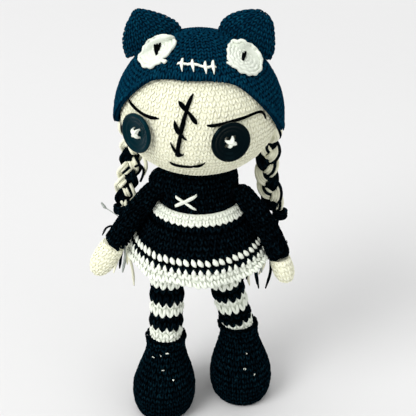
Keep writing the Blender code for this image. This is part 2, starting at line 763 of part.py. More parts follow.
def patch(reach, azimuth, rise, lean, half_width, half_height, low, high, steps):
    """A thin oval that lies on the cap, between two heights over its skin."""
    centre, normal = on_shell(reach, azimuth, rise, 0)
    across = Vector((0, 0, 1)).cross(normal).normalized()
    up = normal.cross(across)
    middle = Vector((0, 0, HEAD_LEVEL))

    def drop(share, turn, lift):
        wide, tall = half_width * share * cos(turn), half_height * share * sin(turn)
        aside = wide * cos(lean) - tall * sin(lean)
        above = wide * sin(lean) + tall * cos(lean)
        spot = centre + across * aside + up * above - middle
        scale = sqrt(sum((spot[k] / (reach[k] + lift)) ** 2 for k in range(3)))
        return middle + spot / scale

    rings = []
    for lift, shares in ((high, (0.5, 0.86)), (0.5 * (low + high), (1.0,)), (low, (0.92, 0.5))):
        for share in shares:
            rings.append([drop(share, 2 * pi * i / steps, lift) for i in range(steps)])
    return skin(rings, first=drop(0, 0, high), last=drop(0, 0, low))


def make_cap_eye(cap, sign):
    azimuth = LEFT_PATCH_TURN if sign < 0 else RIGHT_PATCH_TURN
    rise = LEFT_PATCH_RISE if sign < 0 else RIGHT_PATCH_RISE
    low, high = GAP, GAP + PATCH_THICKNESS
    lean = -sign * PATCH_LEAN
    white = patch(CAP_OUTER, azimuth, rise, lean, PATCH_HALF_WIDTH, PATCH_HALF_HEIGHT, low, high, 20)
    keep(side_name(sign, "cap_eye"), white, "white_yarn", cap)
    low, high = high + GAP, high + GAP + PUPIL_THICKNESS
    black = patch(CAP_OUTER, azimuth, rise, lean, PUPIL_HALF_WIDTH, PUPIL_HALF_HEIGHT, low, high, 12)
    keep(side_name(sign, "cap_pupil"), black, "black_yarn", cap)


def shell_line(reach, route, turn, mirror, yarn):
    """A yarn laid on the head or cap along (azimuth, height) points."""
    path = []
    for azimuth, rise in route:
        path.append(on_shell(reach, turn + mirror * azimuth, rise, GAP + yarn)[0])
    return tube(path, [yarn] * len(path), YARN_STEPS)


def face_route(shares):
    return [(radians(turn), share * (HEAD_CROWN if share > 0 else HEAD_CHIN)) for turn, share in shares]


def make_cap_mouth(cap):
    route = [(CAP_MOUTH_TURN * share, CAP_MOUTH_RISE) for share in (-1, -0.66, -0.33, 0, 0.33, 0.66, 1)]
    line = shell_line(CAP_OUTER, route, CAP_TURN, 1, CAP_MOUTH_YARN)
    mouth = keep("cap_mouth", line, "white_yarn", cap)
    for index, share in enumerate(CAP_TOOTH_SHARES):
        azimuth = CAP_MOUTH_TURN * share
        tick = [(azimuth, CAP_MOUTH_RISE + CAP_TOOTH * part * 0.5) for part in (1, 0, -1)]
        bar = shell_line(CAP_OUTER, tick, CAP_TURN, 1, CAP_MOUTH_YARN * CROSSING_YARN_SHARE)
        combine(mouth, cutter(f"cap_tooth_{index}", bar, cap), "UNION")


def make_button(head, sign):
    azimuth = FACE_TURN + (LEFT_BUTTON_TURN if sign < 0 else RIGHT_BUTTON_TURN)
    seat, normal = on_shell(HEAD_REACH, azimuth, BUTTON_LEVEL, BUTTON_STANDOFF)
    facing = normal.to_track_quat("Z", "Y")
    rim = BUTTON_RIM_RADIUS
    floor = BUTTON_BASE - BUTTON_DISH
    profile = [(0, 0), (BUTTON_RADIUS - rim, 0)]
    profile += [(BUTTON_RADIUS - rim * 0.3, rim * 0.35), (BUTTON_RADIUS, rim)]
    for angle in (35, 70, 110, 150):
        reach = BUTTON_RADIUS - rim + rim * cos(radians(angle))
        profile.append((reach, BUTTON_BASE + rim * sin(radians(angle)) * 0.6))
    profile += [(BUTTON_RADIUS - 2.2 * rim, floor + GAP), (BUTTON_HOLE_REACH * 2, floor), (0, floor)]
    plate = turned(profile, 24)
    place_on(plate, seat, facing)
    button = keep(side_name(sign, "button_eye"), plate, "button_plastic", head)
    for index in range(4):
        turn = pi / 4 + pi / 2 * index
        hole = bmesh.new()
        bmesh.ops.create_cone(
            hole, cap_ends=True, segments=8, radius1=BUTTON_HOLE_RADIUS, radius2=BUTTON_HOLE_RADIUS,
            depth=2 * OVERRUN,
        )
        shift = (BUTTON_HOLE_REACH / sqrt(2) * cos(turn), BUTTON_HOLE_REACH / sqrt(2) * sin(turn), 0)
        bmesh.ops.translate(hole, verts=hole.verts[:], vec=shift)
        place_on(hole, seat, facing)
        combine(button, cutter(side_name(sign, f"button_hole_{index}"), hole, head), "DIFFERENCE")

    bars = []
    for turn, height in ((pi / 4, 0), (3 * pi / 4, BUTTON_THREAD * 0.7)):
        reach = BUTTON_HOLE_REACH / sqrt(2)
        top = floor + GAP + BUTTON_THREAD + height
        root = -BUTTON_STANDOFF + 2 * GAP + BUTTON_THREAD
        path = [(-reach, root), (-reach, floor * 0.5), (-reach * 0.8, top)]
        path.append((0, top + BUTTON_THREAD * 0.5))
        path += [(-x, z) for x, z in path[2::-1]]
        points = [(x * cos(turn), x * sin(turn), z) for x, z in path]
        bar = tube(points, [BUTTON_THREAD] * len(points), 6)
        place_on(bar, seat, facing)
        bars.append(bar)
    thread = keep(side_name(sign, "button_thread"), bars[0], "white_yarn", head)
    combine(thread, cutter(side_name(sign, "button_thread_bar"), bars[1], head), "UNION")


def place_on(bm, seat, facing):
    place = Matrix.Translation(seat) @ facing.to_matrix().to_4x4()
    bmesh.ops.transform(bm, verts=bm.verts[:], matrix=place)


def make_face(head):
    for sign in (-1, 1):
        route = face_route(LEFT_BROW_SHARES if sign < 0 else RIGHT_BROW_SHARES)
        brow = shell_line(HEAD_REACH, route, FACE_TURN, sign, FACE_YARN)
        keep(side_name(sign, "eyebrow"), brow, "black_thread", head)
        make_button(head, sign)
    mouth = shell_line(HEAD_REACH, face_route(MOUTH_SHARES), FACE_TURN, 1, FACE_YARN)
    keep("mouth_stitch", mouth, "black_thread", head)
    main = shell_line(HEAD_REACH, face_route(SCAR_SHARES), FACE_TURN, 1, FACE_YARN)
    scar = keep("forehead_stitches", main, "black_thread", head)
    for index, crossing in enumerate(CROSSING_SHARES):
        bar = shell_line(HEAD_REACH, face_route(crossing), FACE_TURN, 1, FACE_YARN * CROSSING_YARN_SHARE)
        combine(scar, cutter(f"forehead_crossing_{index}", bar, head), "UNION")


def plait_point(sign, share):
    """The plait's centre line, from its hinge at 0 to its tie at 1."""
    if sign < 0:
        spread, out, bow = LEFT_PLAIT_SPREAD, LEFT_PLAIT_OUT, LEFT_PLAIT_BOW
    else:
        spread, out, bow = RIGHT_PLAIT_SPREAD, RIGHT_PLAIT_OUT, RIGHT_PLAIT_BOW
    aside = spread + out * share - bow * sin(pi * share)
    return Vector((sign * aside, PLAIT_BACK, PLAIT_TOP - PLAIT_LENGTH * share))


def make_hair_lock(head, sign):
    top = plait_point(sign, 0)
    outward = Vector((top.x, top.y, 0)).normalized()
    beside = Vector((-outward.y, outward.x, 0))
    root = outward * LOCK_REACH + Vector((0, 0, HEAD_LEVEL - LOCK_DROP))
    foot = top + Vector((0, 0, PLAIT_NECK + GAP))
    rings = []
    for share in (0.0, 0.35, 0.7, 1.0):
        centre = root.lerp(foot, share)
        thick = LOCK_THICKNESS / 2 + (PLAIT_NECK - LOCK_THICKNESS / 2) * share
        wide = LOCK_WIDTH / 2 + (PLAIT_NECK - LOCK_WIDTH / 2) * share
        rings.append(circle(centre, outward, beside, thick, wide, PLAIT_STEPS))
    keep(side_name(sign, "hair_lock"), skin(rings), "cream_yarn", head)


def make_plait(head, sign):
    top = plait_point(sign, 0)
    hinge = pivot(side_name(sign, "plait_hinge"), top, head)
    depth = Vector((0, 1, 0))
    rings = []
    for angle in (radians(62), radians(30)):
        half = PLAIT_NECK * cos(angle)
        centre = top + Vector((0, 0, PLAIT_NECK * sin(angle)))
        rings.append(circle(centre, Vector((1, 0, 0)), depth, half, half, PLAIT_STEPS))
    count = 4 * PLAIT_TURNS
    for i in range(count + 1):
        share = i / count
        centre = plait_point(sign, share)
        across = Vector((1, 0, 0))
        if i:
            ahead = (centre - plait_point(sign, share - 1 / count)).normalized()
            across = depth.cross(ahead) * -1
        ring = []
        for j in range(PLAIT_STEPS):
            turn = 2 * pi * j / PLAIT_STEPS
            lobe = PLAIT_LOBE * cos(turn) * cos(2 * pi * PLAIT_TURNS * share)
            reach = (PLAIT_RADIUS - PLAIT_LOBE) * (1 - PLAIT_TAPER_SHARE * share) + lobe
            flat = PLAIT_FLAT_SHARE
            if i == 0:
                reach, flat = PLAIT_NECK, 1
            ring.append(centre + across * reach * cos(turn) + depth * reach * flat * sin(turn))
        rings.append(ring)
    first = top + Vector((0, 0, PLAIT_NECK))
    keep(side_name(sign, "plait"), skin(rings, first=first), "cream_yarn", hinge)

    end = plait_point(sign, 1)
    down = (end - plait_point(sign, 1 - 1 / count)).normalized()
    across = down.cross(depth)
    rings = []
    for i in range(PLAIT_STEPS):
        turn = 2 * pi * i / PLAIT_STEPS
        out = across * cos(turn) + depth * sin(turn)
        centre = end + down * (GAP + TIE_YARN) + out * TIE_REACH
        rings.append(circle(centre, out, down, TIE_YARN, TIE_YARN, YARN_STEPS))
    keep(side_name(sign, "plait_tie"), skin(rings, looped=True), "black_yarn", hinge)

    rings = []
    for share, swell in TAIL_SHARES:
        centre = end + down * GAP + Vector((0, 0, -TAIL_LENGTH * share))
        ring = []
        for j in range(PLAIT_STEPS):
            turn = 2 * pi * j / PLAIT_STEPS
            flute = 1 + TAIL_FLUTE_SHARE * share * cos(pi * j)
            reach = (TAIL_RADIUS * swell + TAIL_FLARE * share) * flute
            if share < TAIL_SHARES[2][0]:
                reach = min(reach, TIE_REACH - TIE_YARN - GAP)
            ring.append(centre + across * reach * cos(turn) + depth * reach * PLAIT_FLAT_SHARE * sin(turn))
        rings.append(ring)
    keep(side_name(sign, "plait_tail"), skin(rings), "cream_yarn", hinge)


def build():
    clear_scene()
    doll = pivot("doll", (0, 0, 0))
    head = pivot("head_turn", (0, 0, SHELF_LEVEL), doll)
    cap = pivot("cap_lift", (0, 0, HEAD_LEVEL), head)
    make_torso(doll, [shoulder_cutter(doll, sign) for sign in (-1, 1)])
    make_waist_band(doll)
    make_skirt(doll)
    make_chest_cross(doll)
    make_head(head)
    make_face(head)
    make_cap(cap)
    make_cap_mouth(cap)
    hollow = cap_hollow(cap)
    for sign in (-1, 1):
        make_arm(doll, sign)
        make_leg(doll, sign)
        make_ear(cap, sign, hollow)
        make_cap_eye(cap, sign)
        make_hair_lock(head, sign)
        make_plait(head, sign)
    doll.location = (SHIFT_ASIDE, 0, 0)


build()
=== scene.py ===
"""The looks of a crocheted doll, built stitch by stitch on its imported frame.

Every cover is a field of crochet stitches laid in rounds over a skin. Lengths are in metres.
"""
import json
from functools import partial, partialmethod
from math import asin, atan2, cos, pi, radians, sin, sqrt

import bmesh
import bpy
import numpy as np
from bpy.props import FloatProperty, FloatVectorProperty, IntProperty, PointerProperty
from bpy.types import Operator, Panel, PropertyGroup
from mathutils import Matrix, Vector
from mathutils.bvhtree import BVHTree


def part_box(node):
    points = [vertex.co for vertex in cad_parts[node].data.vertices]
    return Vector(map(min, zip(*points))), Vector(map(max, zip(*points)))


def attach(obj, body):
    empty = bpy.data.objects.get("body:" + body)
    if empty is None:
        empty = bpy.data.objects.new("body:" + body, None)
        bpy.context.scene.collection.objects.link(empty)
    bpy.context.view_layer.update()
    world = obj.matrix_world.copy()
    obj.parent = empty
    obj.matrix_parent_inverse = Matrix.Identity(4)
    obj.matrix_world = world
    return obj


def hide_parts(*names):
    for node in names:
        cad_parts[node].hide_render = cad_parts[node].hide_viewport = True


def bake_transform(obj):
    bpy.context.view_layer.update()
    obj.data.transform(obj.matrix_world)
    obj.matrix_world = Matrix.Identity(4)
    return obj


bl_info = {
    "name": "Crocheted doll",
    "version": (1, 0, 0),
    "blender": (4, 5, 0),
    "location": "3D View > Sidebar > Doll",
    "description": "Builds a crocheted doll's covers, plaits, buttons and stage",
    "category": "Add Mesh",
}

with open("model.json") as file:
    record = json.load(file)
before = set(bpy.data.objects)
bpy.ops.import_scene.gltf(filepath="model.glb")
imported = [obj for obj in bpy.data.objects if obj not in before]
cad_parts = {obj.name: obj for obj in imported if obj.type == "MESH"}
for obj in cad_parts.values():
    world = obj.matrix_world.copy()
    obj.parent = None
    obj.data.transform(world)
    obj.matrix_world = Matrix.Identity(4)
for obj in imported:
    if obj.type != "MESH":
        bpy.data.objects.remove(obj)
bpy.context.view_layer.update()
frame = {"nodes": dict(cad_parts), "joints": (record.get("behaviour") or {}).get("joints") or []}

# The picture that the camera's settings and the marks below belong to
PICTURE = 416
PICTURE_MIDDLE = (199, 205)

SIDES = (-1, 1)


# Each yarn's and plastic's colours: a yarn's deep colour is painted shade low between its stitches, its full
# colour is its own, and its third is painted highlight on flecks and stitch crowns
SHADES = ("deep", "full", "pale")
COLOURS = {
    "cream": ((0.85, 0.84, 0.65), (0.90, 0.90, 0.71), (0.95, 0.96, 0.80)),
    "patch": ((0.66, 0.70, 0.61), (0.77, 0.81, 0.72), (0.85, 0.88, 0.80)),
    "white": ((0.76, 0.80, 0.70), (0.86, 0.90, 0.80), (0.93, 0.96, 0.88)),
    "grey": ((0.20, 0.22, 0.20), (0.42, 0.46, 0.43), (0.60, 0.64, 0.60)),
    "fibre": ((0.60, 0.60, 0.60), (0.80, 0.80, 0.80), (0.92, 0.92, 0.92)),
    "black": ((0.0001, 0.0002, 0.0003), (0.0009, 0.0018, 0.0026), (0.005, 0.016, 0.024)),
    "cap": ((0.0006, 0.0108, 0.0256), (0.0012, 0.0259, 0.0561), (0.0040, 0.0691, 0.1171)),
    "boot": ((0.0001, 0.0004, 0.0006), (0.0006, 0.0019, 0.0034), (0.0048, 0.0223, 0.0335)),
    "thread": ((0.0002, 0.0003, 0.0005), (0.001, 0.0015, 0.002), (0.004, 0.006, 0.009)),
    "plastic": ((0.0002, 0.0010, 0.0014), (0.0004, 0.003, 0.006)),
    # Painted reflection: the teal that the left button shows where it reflects the key lamp
    "plastic_reflection": ((0.0002, 0.012, 0.018), (0.0006, 0.020, 0.027)),
}


class ColourSettings(PropertyGroup):
    __annotations__ = {
        f"{finish}_{shade}": FloatVectorProperty(
            name=f"{finish} {shade}".replace("_", " ").capitalize(),
            description="A colour of this yarn or plastic", default=default, subtype="COLOR")
        for finish, colours in COLOURS.items() for shade, default in zip(SHADES, colours)
    }


class YarnSettings(PropertyGroup):
    stitch_width: FloatProperty(
        name="Stitch width", description="Width of one stitch", default=0.0048, unit="LENGTH")
    row_height: FloatProperty(
        name="Row height", description="Height of one round", default=0.0046, unit="LENGTH")
    plumpness: FloatProperty(
        name="Plumpness", description="How far a stitch stands over the skin", default=0.0010, unit="LENGTH")
    yarn_radius: FloatProperty(
        name="Yarn radius", description="Radius of a plait's yarn", default=0.00115, unit="LENGTH")
    seed: IntProperty(name="Seed", description="Seed of the yarn's small changes", default=7)


class StageSettings(PropertyGroup):
    distance: FloatProperty(
        name="Distance", description="From the camera to its target", default=0.650, unit="LENGTH")
    elevation: FloatProperty(
        name="Elevation", description="How far the camera looks down", default=radians(29), unit="ROTATION")
    azimuth: FloatProperty(
        name="Azimuth", description="The camera's turn from the doll's front", default=radians(4),
        unit="ROTATION")
    target_level: FloatProperty(
        name="Target level", description="Height of the camera's target", default=0.137, unit="LENGTH")
    lens_share: FloatProperty(
        name="Lens share", description="Focal length over the sensor's width", default=2.6034)
    floor_colour: FloatVectorProperty(
        name="Floor colour", description="The floor and backdrop", default=(0.725, 0.725, 0.725),
        subtype="COLOR")


def yarn_settings():
    return bpy.context.scene.doll_yarn


def view_back(stage):
    """From the camera's target to the camera."""
    a, e = stage.azimuth, stage.elevation
    return sin(a) * cos(e), -cos(a) * cos(e), sin(e)


def between(table, place):
    """A smooth curve through a table of (place, value) rows."""
    spots = [row[0] for row in table]
    values = [row[1] for row in table]
    place = min(max(place, spots[0]), spots[-1])
    index = max(i for i in range(len(spots) - 1) if spots[i] <= place)
    width = spots[index + 1] - spots[index]
    share = (place - spots[index]) / width

    def slope(i):
        low, high = max(i - 1, 0), min(i + 1, len(spots) - 1)
        return (values[high] - values[low]) / (spots[high] - spots[low])

    start, end = values[index], values[index + 1]
    rise = share * share * (3 - 2 * share)
    lead = share * (1 - share) ** 2 * slope(index)
    trail = share * share * (share - 1) * slope(index + 1)
    return start + (end - start) * rise + width * (lead + trail)


# Shader graphs
class Value:
    """A node's output. Arithmetic on it adds the Math or Vector Math node that does it."""

    def __init__(self, graph, socket):
        self.graph = graph
        self.socket = socket

    def is_vector(self):
        return self.socket.type in ("VECTOR", "RGBA")

    def combine(self, operation, other, swapped=False):
        first, second = (other, self) if swapped else (self, other)
        vector = self.is_vector() or (isinstance(other, Value) and other.is_vector())
        kind = "ShaderNodeVectorMath" if vector else "ShaderNodeMath"
        return self.graph.node(kind, {0: first, 1: second}, operation=operation)

    __add__ = partialmethod(combine, "ADD")
    __radd__ = partialmethod(combine, "ADD", swapped=True)
    __sub__ = partialmethod(combine, "SUBTRACT")
    __rsub__ = partialmethod(combine, "SUBTRACT", swapped=True)
    __mul__ = partialmethod(combine, "MULTIPLY")
    __rmul__ = partialmethod(combine, "MULTIPLY", swapped=True)
    __pow__ = partialmethod(combine, "POWER")
    __rpow__ = partialmethod(combine, "POWER", swapped=True)

    def function(self, operation, other=0.0):
        return self.graph.node("ShaderNodeMath", {0: self, 1: other}, operation=operation)

    def limited(self):
        return self.graph.node("ShaderNodeClamp", {0: self})

    def part(self, index):
        return self.graph.node("ShaderNodeSeparateXYZ", {0: self}, output=index)


class Graph:
    """The nodes of a new material or of the world, with the shader that is there from the start."""

    def __init__(self, owner, shader="Principled BSDF"):
        owner.use_nodes = True
        self.owner = owner
        self.tree = owner.node_tree
        self.shader = self.tree.nodes[shader]

    def node(self, kind, inputs=None, output=0, **settings):
        made = self.tree.nodes.new(kind)
        for key, setting in settings.items():
            setattr(made, key, setting)
        for key, given in (inputs or {}).items():
            self.join(made.inputs[key], given)
        return Value(self, made.outputs[output])

    def join(self, socket, given):
        if isinstance(given, Value):
            self.tree.links.new(given.socket, socket)
        elif socket.type in ("VECTOR", "RGBA") and isinstance(given, (int, float)):
            socket.default_value = [given] * len(socket.default_value)
        elif socket.type == "RGBA" and len(given) == 3:
            socket.default_value = (*given, 1.0)
        else:
            socket.default_value = given

    def mix(self, factor, low, high):
        return self.node("ShaderNodeMix", {0: factor, 6: low, 7: high}, output=2, data_type="RGBA")

    def attribute(self, name):
        return self.node("ShaderNodeAttribute", output=1, attribute_name=name)

    def place(self):
        return self.node("ShaderNodeTexCoord", output=3)

    def noise(self, scale, detail=3.0, vector=None):
        inputs = {"Scale": scale, "Detail": detail, "Vector": vector or self.place()}
        return self.node("ShaderNodeTexNoise", inputs)

    def feed(self, **given):
        for key, value in given.items():
            self.join(self.shader.inputs[key.replace("_", " ")], value)

    def bump(self, height, distance, strength=1.0):
        return self.node("ShaderNodeBump", {"Height": height, "Distance": distance, "Strength": strength})


def colours_of(name):
    settings = bpy.context.scene.doll_colours
    return [tuple(getattr(settings, f"{name}_{shade}")) for shade, _ in zip(SHADES, COLOURS[name])]


def yarn_material(name, deep, full, pale, plies=3.0, twist=900.0, crown_highlight_strength=0.25):
    """Plied yarn: painted shade in the deep colour low between the stitches and in the plies' grooves, its full
    colour on them, and painted highlights where its flecks and stitch crowns would catch the light.
    """
    graph = Graph(bpy.data.materials.new(name))
    strand = graph.attribute("strand")
    shade = graph.attribute("shade")
    rise, tint = shade.part(0), shade.part(1)
    around = graph.node(
        "ShaderNodeMath", {0: strand.part(1), 1: strand.part(0)}, operation="ARCTAN2")
    ply = (around * plies + strand.part(2) * twist).function("SINE") * 0.5 + 0.5
    fibre = graph.noise(2600.0, 4.0)
    fleck = graph.noise(620.0, 4.0)
    cloud = graph.noise(120.0, 2.0)
    # Painted shade: the deep colour low on each stitch and on the skin between the stitches
    body = graph.mix((rise ** 1.3).limited(), deep, full)
    # Painted highlights: the lightest colour on bright flecks, more so high on a stitch, and on the tops of the
    # stitches
    fleck_highlight = ((fleck - 0.50) * 5.0).limited() * (rise * 0.8 + 0.2) * (tint * 0.6 + cloud * 0.8)
    crown_highlight = (rise ** 3.0) * (fleck * 1.6 - 0.35).limited() * crown_highlight_strength
    colour = graph.mix((fleck_highlight + crown_highlight).limited(), body, pale)
    # Painted shade in the grooves between the plies high on each stitch, and darker fibres at random
    colour = graph.mix((0.28 - ply * 0.28) * rise + (0.5 - fibre).limited() * 0.5, colour, deep)
    graph.feed(
        Base_Color=colour,
        Roughness=fibre * 0.2 + 0.7,
        Normal=graph.bump(ply * 0.5 + fibre * 0.9, 0.00025, 0.7),
        # No specular: the painted highlights stand in for the yarn's sheen
        Specular_IOR_Level=0.0,
    )
    return graph.owner


def plastic_material(name):
    """Polished button plastic with fine wear, black, with a painted teal reflection towards the doll's left, where
    the key lamp stands.
    """
    graph = Graph(bpy.data.materials.new(name))
    wear = graph.noise(900.0, 5.0)
    smear = graph.noise(120.0, 2.0)
    # Painted reflection: teal towards the doll's left, broken up by the smears
    reflection_mask = (graph.place().part(0) * -80.0 + 0.3).limited()
    plain = graph.mix((wear - 0.45).limited() * 0.6, *colours_of("plastic"))
    teal_reflection = graph.mix((wear - 0.35).limited(), *colours_of("plastic_reflection"))
    graph.feed(
        Base_Color=graph.mix(reflection_mask * (smear * 0.5 + 0.7), plain, teal_reflection),
        Roughness=smear * 0.08 + 0.05,
        Normal=graph.bump(wear, 0.00003, 0.5),
        Specular_IOR_Level=0.07,
        Specular_Tint=(0.30, 0.80, 1.0, 1.0),
    )
    return graph.owner


# The backdrop's and the world's strength, and how far from the doll the floor is lit
BACKDROP = 0.88
WORLD_LIGHT = 0.70
FLOOR_LIT = 0.6


def floor_material(name, colour):
    """The floor, which turns into the backdrop away from the doll."""
    graph = Graph(bpy.data.materials.new(name))
    grain = graph.noise(60.0, 2.0)
    graph.feed(
        Base_Color=graph.mix(grain, [c * 0.992 for c in colour], colour),
        Roughness=0.9,
        Specular_IOR_Level=0.1,
    )
    away = graph.node("ShaderNodeVectorMath", {0: graph.place()}, output=1, operation="LENGTH")
    backdrop = graph.node("ShaderNodeEmission", {"Color": (1.0, 1.0, 1.0), "Strength": BACKDROP})
    surface = graph.node("ShaderNodeMixShader", {
        0: ((away - FLOOR_LIT) * (1 / FLOOR_LIT)).limited(), 1: Value(graph, graph.shader.outputs[0]),
        2: backdrop,
    })
    graph.join(graph.tree.nodes["Material Output"].inputs["Surface"], surface)
    return graph.owner


# Yarns that aren't plied or twisted as the others, or whose stitch crowns get stronger painted highlights
YARN_FINISHES = {
    "black": {"crown_highlight_strength": 0.5},
    "cap": {"crown_highlight_strength": 0.5},
    "boot": {"crown_highlight_strength": 0.8},
    "thread": {"plies": 2.0, "twist": 1800.0},
}
MATERIALS = {}


def material(name):
    """Each material is made once, when a piece first asks for it."""
    if name in MATERIALS:
        return MATERIALS[name]
    if name == "plastic":
        MATERIALS[name] = plastic_material(name)
    else:
        MATERIALS[name] = yarn_material(name, *colours_of(name), **YARN_FINISHES.get(name, {}))
    return MATERIALS[name]


# Meshes
class Weaving:
    """Collects faces with their yarn coordinates, and makes one object of them."""

    def __init__(self):
        self.points, self.strands, self.shades = [], [], []
        self.corners, self.sizes, self.slots = [], [], []
        self.count = 0

    def add(self, points, faces, slot=0, strand=None, shade=None):
        points = np.asarray(points, float).reshape(-1, 3)
        total = len(points)
        self.points.append(points)
        self.strands.append(np.tile((1.0, 0.0, 0.0), (total, 1)) if strand is None else strand)
        # Faces without a shade of their own, such as skins, sit low and so take the painted shade between stitches
        self.shades.append(np.tile((0.25, 0.5, 0.0), (total, 1)) if shade is None else shade)
        for group in faces:
            group = np.asarray(group, int)
            if not len(group):
                continue
            self.corners.append(group.ravel() + self.count)
            self.sizes.append(np.full(len(group), group.shape[1]))
            slots = np.asarray(slot)
            if slots.ndim:
                slots = np.repeat(slots, len(group) // len(slots))
            self.slots.append(np.broadcast_to(slots, len(group)))
        self.count += total

    def make(self, name, materials):
        mesh = bpy.data.meshes.new(name)
        points = np.concatenate(self.points)
        corners = np.concatenate(self.corners)
        sizes = np.concatenate(self.sizes)
        mesh.vertices.add(len(points))
        mesh.vertices.foreach_set("co", points.astype(np.float32).ravel())
        mesh.loops.add(len(corners))
        mesh.loops.foreach_set("vertex_index", corners.astype(np.int32))
        mesh.polygons.add(len(sizes))
        starts = np.concatenate([[0], np.cumsum(sizes)[:-1]]).astype(np.int32)
        mesh.polygons.foreach_set("loop_start", starts)
        mesh.polygons.foreach_set("material_index", np.concatenate(self.slots).astype(np.int32))
        mesh.polygons.foreach_set("use_smooth", np.ones(len(sizes), bool))
        mesh.update(calc_edges=True)
        for key, rows in (("strand", self.strands), ("shade", self.shades)):
            layer = mesh.attributes.new(key, "FLOAT_VECTOR", "POINT")
            layer.data.foreach_set("vector", np.concatenate(rows).astype(np.float32).ravel())
        for key in materials:
            mesh.materials.append(material(key))
        made = bpy.data.objects.new(name, mesh)
        bpy.context.scene.collection.objects.link(made)
        return made


def grid_faces(rows, columns, flipped=False):
    """Quads of a grid of points, closed round each row."""
    i, j = np.meshgrid(np.arange(rows - 1), np.arange(columns), indexing="ij")
    k = (j + 1) % columns
    quads = np.stack([i * columns + j, i * columns + k, (i + 1) * columns + k, (i + 1) * columns + j], -1)
    quads = quads.reshape(-1, 4)
    return quads[:, ::-1] if flipped else quads


class Shell:
    """A skin of closed rounds, read at a share of its height and a share of the way round."""

    def __init__(self, rounds, rows=120, columns=144):
        rounds = np.asarray(rounds, float)
        steps = np.linalg.norm(np.diff(rounds, axis=0), axis=2).mean(axis=1)
        heights = np.concatenate([[0], np.cumsum(steps)])
        self.length = heights[-1]
        wanted = np.linspace(0, self.length, rows)
        even = np.stack([
            np.stack([np.interp(wanted, heights, rounds[:, j, k]) for k in range(3)], -1)
            for j in range(rounds.shape[1])
        ], axis=1)
        self.grid = np.stack([even_round(ring, columns) for ring in even])
        self.rows, self.columns = rows, columns
        ahead = np.gradient(self.grid, axis=0)
        beside = (np.roll(self.grid, -1, 1) - np.roll(self.grid, 1, 1)) / 2
        normal = np.cross(beside, ahead)
        size = np.linalg.norm(normal, axis=2, keepdims=True)
        normal = normal / np.maximum(size, 1e-12)
        thin = size[:, :, 0].mean(axis=1) < size.mean() * 0.02
        middle = self.grid.mean(axis=1)
        axis = np.gradient(middle, axis=0)
        for row in np.nonzero(thin)[0]:
            direction = axis[row] / max(np.linalg.norm(axis[row]), 1e-12)
            normal[row] = direction if row > rows / 2 else -direction
        self.normal = normal
        self.girths = np.linalg.norm(beside, axis=2).sum(axis=1)

    def girth(self, height):
        return float(np.interp(height, np.linspace(0, 1, self.rows), self.girths))

    def read(self, height, turn):
        """Points and outward normals at heights from 0 to 1 and turns of any size."""
        row = np.clip(height, 0, 1) * (self.rows - 1)
        i = np.minimum(row.astype(int), self.rows - 2)
        down = (row - i)[..., None]
        column = (turn % 1.0) * self.columns
        j = column.astype(int) % self.columns
        k = (j + 1) % self.columns
        right = (column - np.floor(column))[..., None]
        spots = []
        for table in (self.grid, self.normal):
            near = table[i, j] * (1 - right) + table[i, k] * right
            far = table[i + 1, j] * (1 - right) + table[i + 1, k] * right
            spots.append(near * (1 - down) + far * down)
        normal = spots[1] / np.maximum(np.linalg.norm(spots[1], axis=-1, keepdims=True), 1e-12)
        return spots[0], normal

    def over(self, lift):
        return self.grid + self.normal * lift


def even_round(ring, columns):
    """A closed ring of points set evenly along its length, from the same first point."""
    closed = np.vstack([ring, ring[:1]])
    steps = np.linalg.norm(np.diff(closed, axis=0), axis=1)
    along = np.concatenate([[0], np.cumsum(steps)])
    if along[-1] < 1e-9:
        return np.repeat(ring[:1], columns, axis=0)
    wanted = np.arange(columns) / columns * along[-1]
    return np.stack([np.interp(wanted, along, closed[:, k]) for k in range(3)], -1)


def corners_of(node):
    return np.array([tuple(vertex.co) for vertex in frame["nodes"][node].data.vertices])


def surface_tree(node):
    mesh = frame["nodes"][node].data
    corners = [tuple(vertex.co) for vertex in mesh.vertices]
    return BVHTree.FromPolygons(corners, [tuple(face.vertices) for face in mesh.polygons])


def cast_rounds(node, spine, reach, steps=96, inside=False):
    """Rounds of points where rays towards a spine meet a node's skin.

    A spine is a list of (centre, axis, side, tilt): rays leave the centre all round the axis,
    tilted towards it, and the first one starts at the side.
    """
    tree = surface_tree(node)
    rounds = []
    for centre, axis, side, tilt in spine:
        centre, axis = Vector(centre), Vector(axis).normalized()
        side = Vector(side)
        side = (side - axis * side.dot(axis)).normalized()
        third = axis.cross(side)
        ring = []
        for i in range(steps):
            turn = 2 * pi * i / steps
            out = (side * cos(turn) + third * sin(turn)) * cos(tilt) + axis * sin(tilt)
            if inside:
                spot = tree.ray_cast(centre, out, reach)[0]
            else:
                spot = tree.ray_cast(centre + out * reach, -out, reach)[0]
            if spot is None:
                raise RuntimeError(f"{node}: a ray at {tuple(centre)} found no skin")
            ring.append(tuple(spot))
        rounds.append(ring)
    return rounds


def straight_spine(start, end, side, count, first_tilts=(), last_tilts=()):
    """Centres from a start to an end, with extra tilted rounds at either of them, in degrees."""
    start, end = Vector(start), Vector(end)
    axis = (end - start).normalized()
    spine = [(start, axis, side, radians(tilt)) for tilt in first_tilts]
    spine += [(start.lerp(end, i / (count - 1)), axis, side, 0.0) for i in range(count)]
    spine += [(end, axis, side, radians(tilt)) for tilt in last_tilts]
    return spine


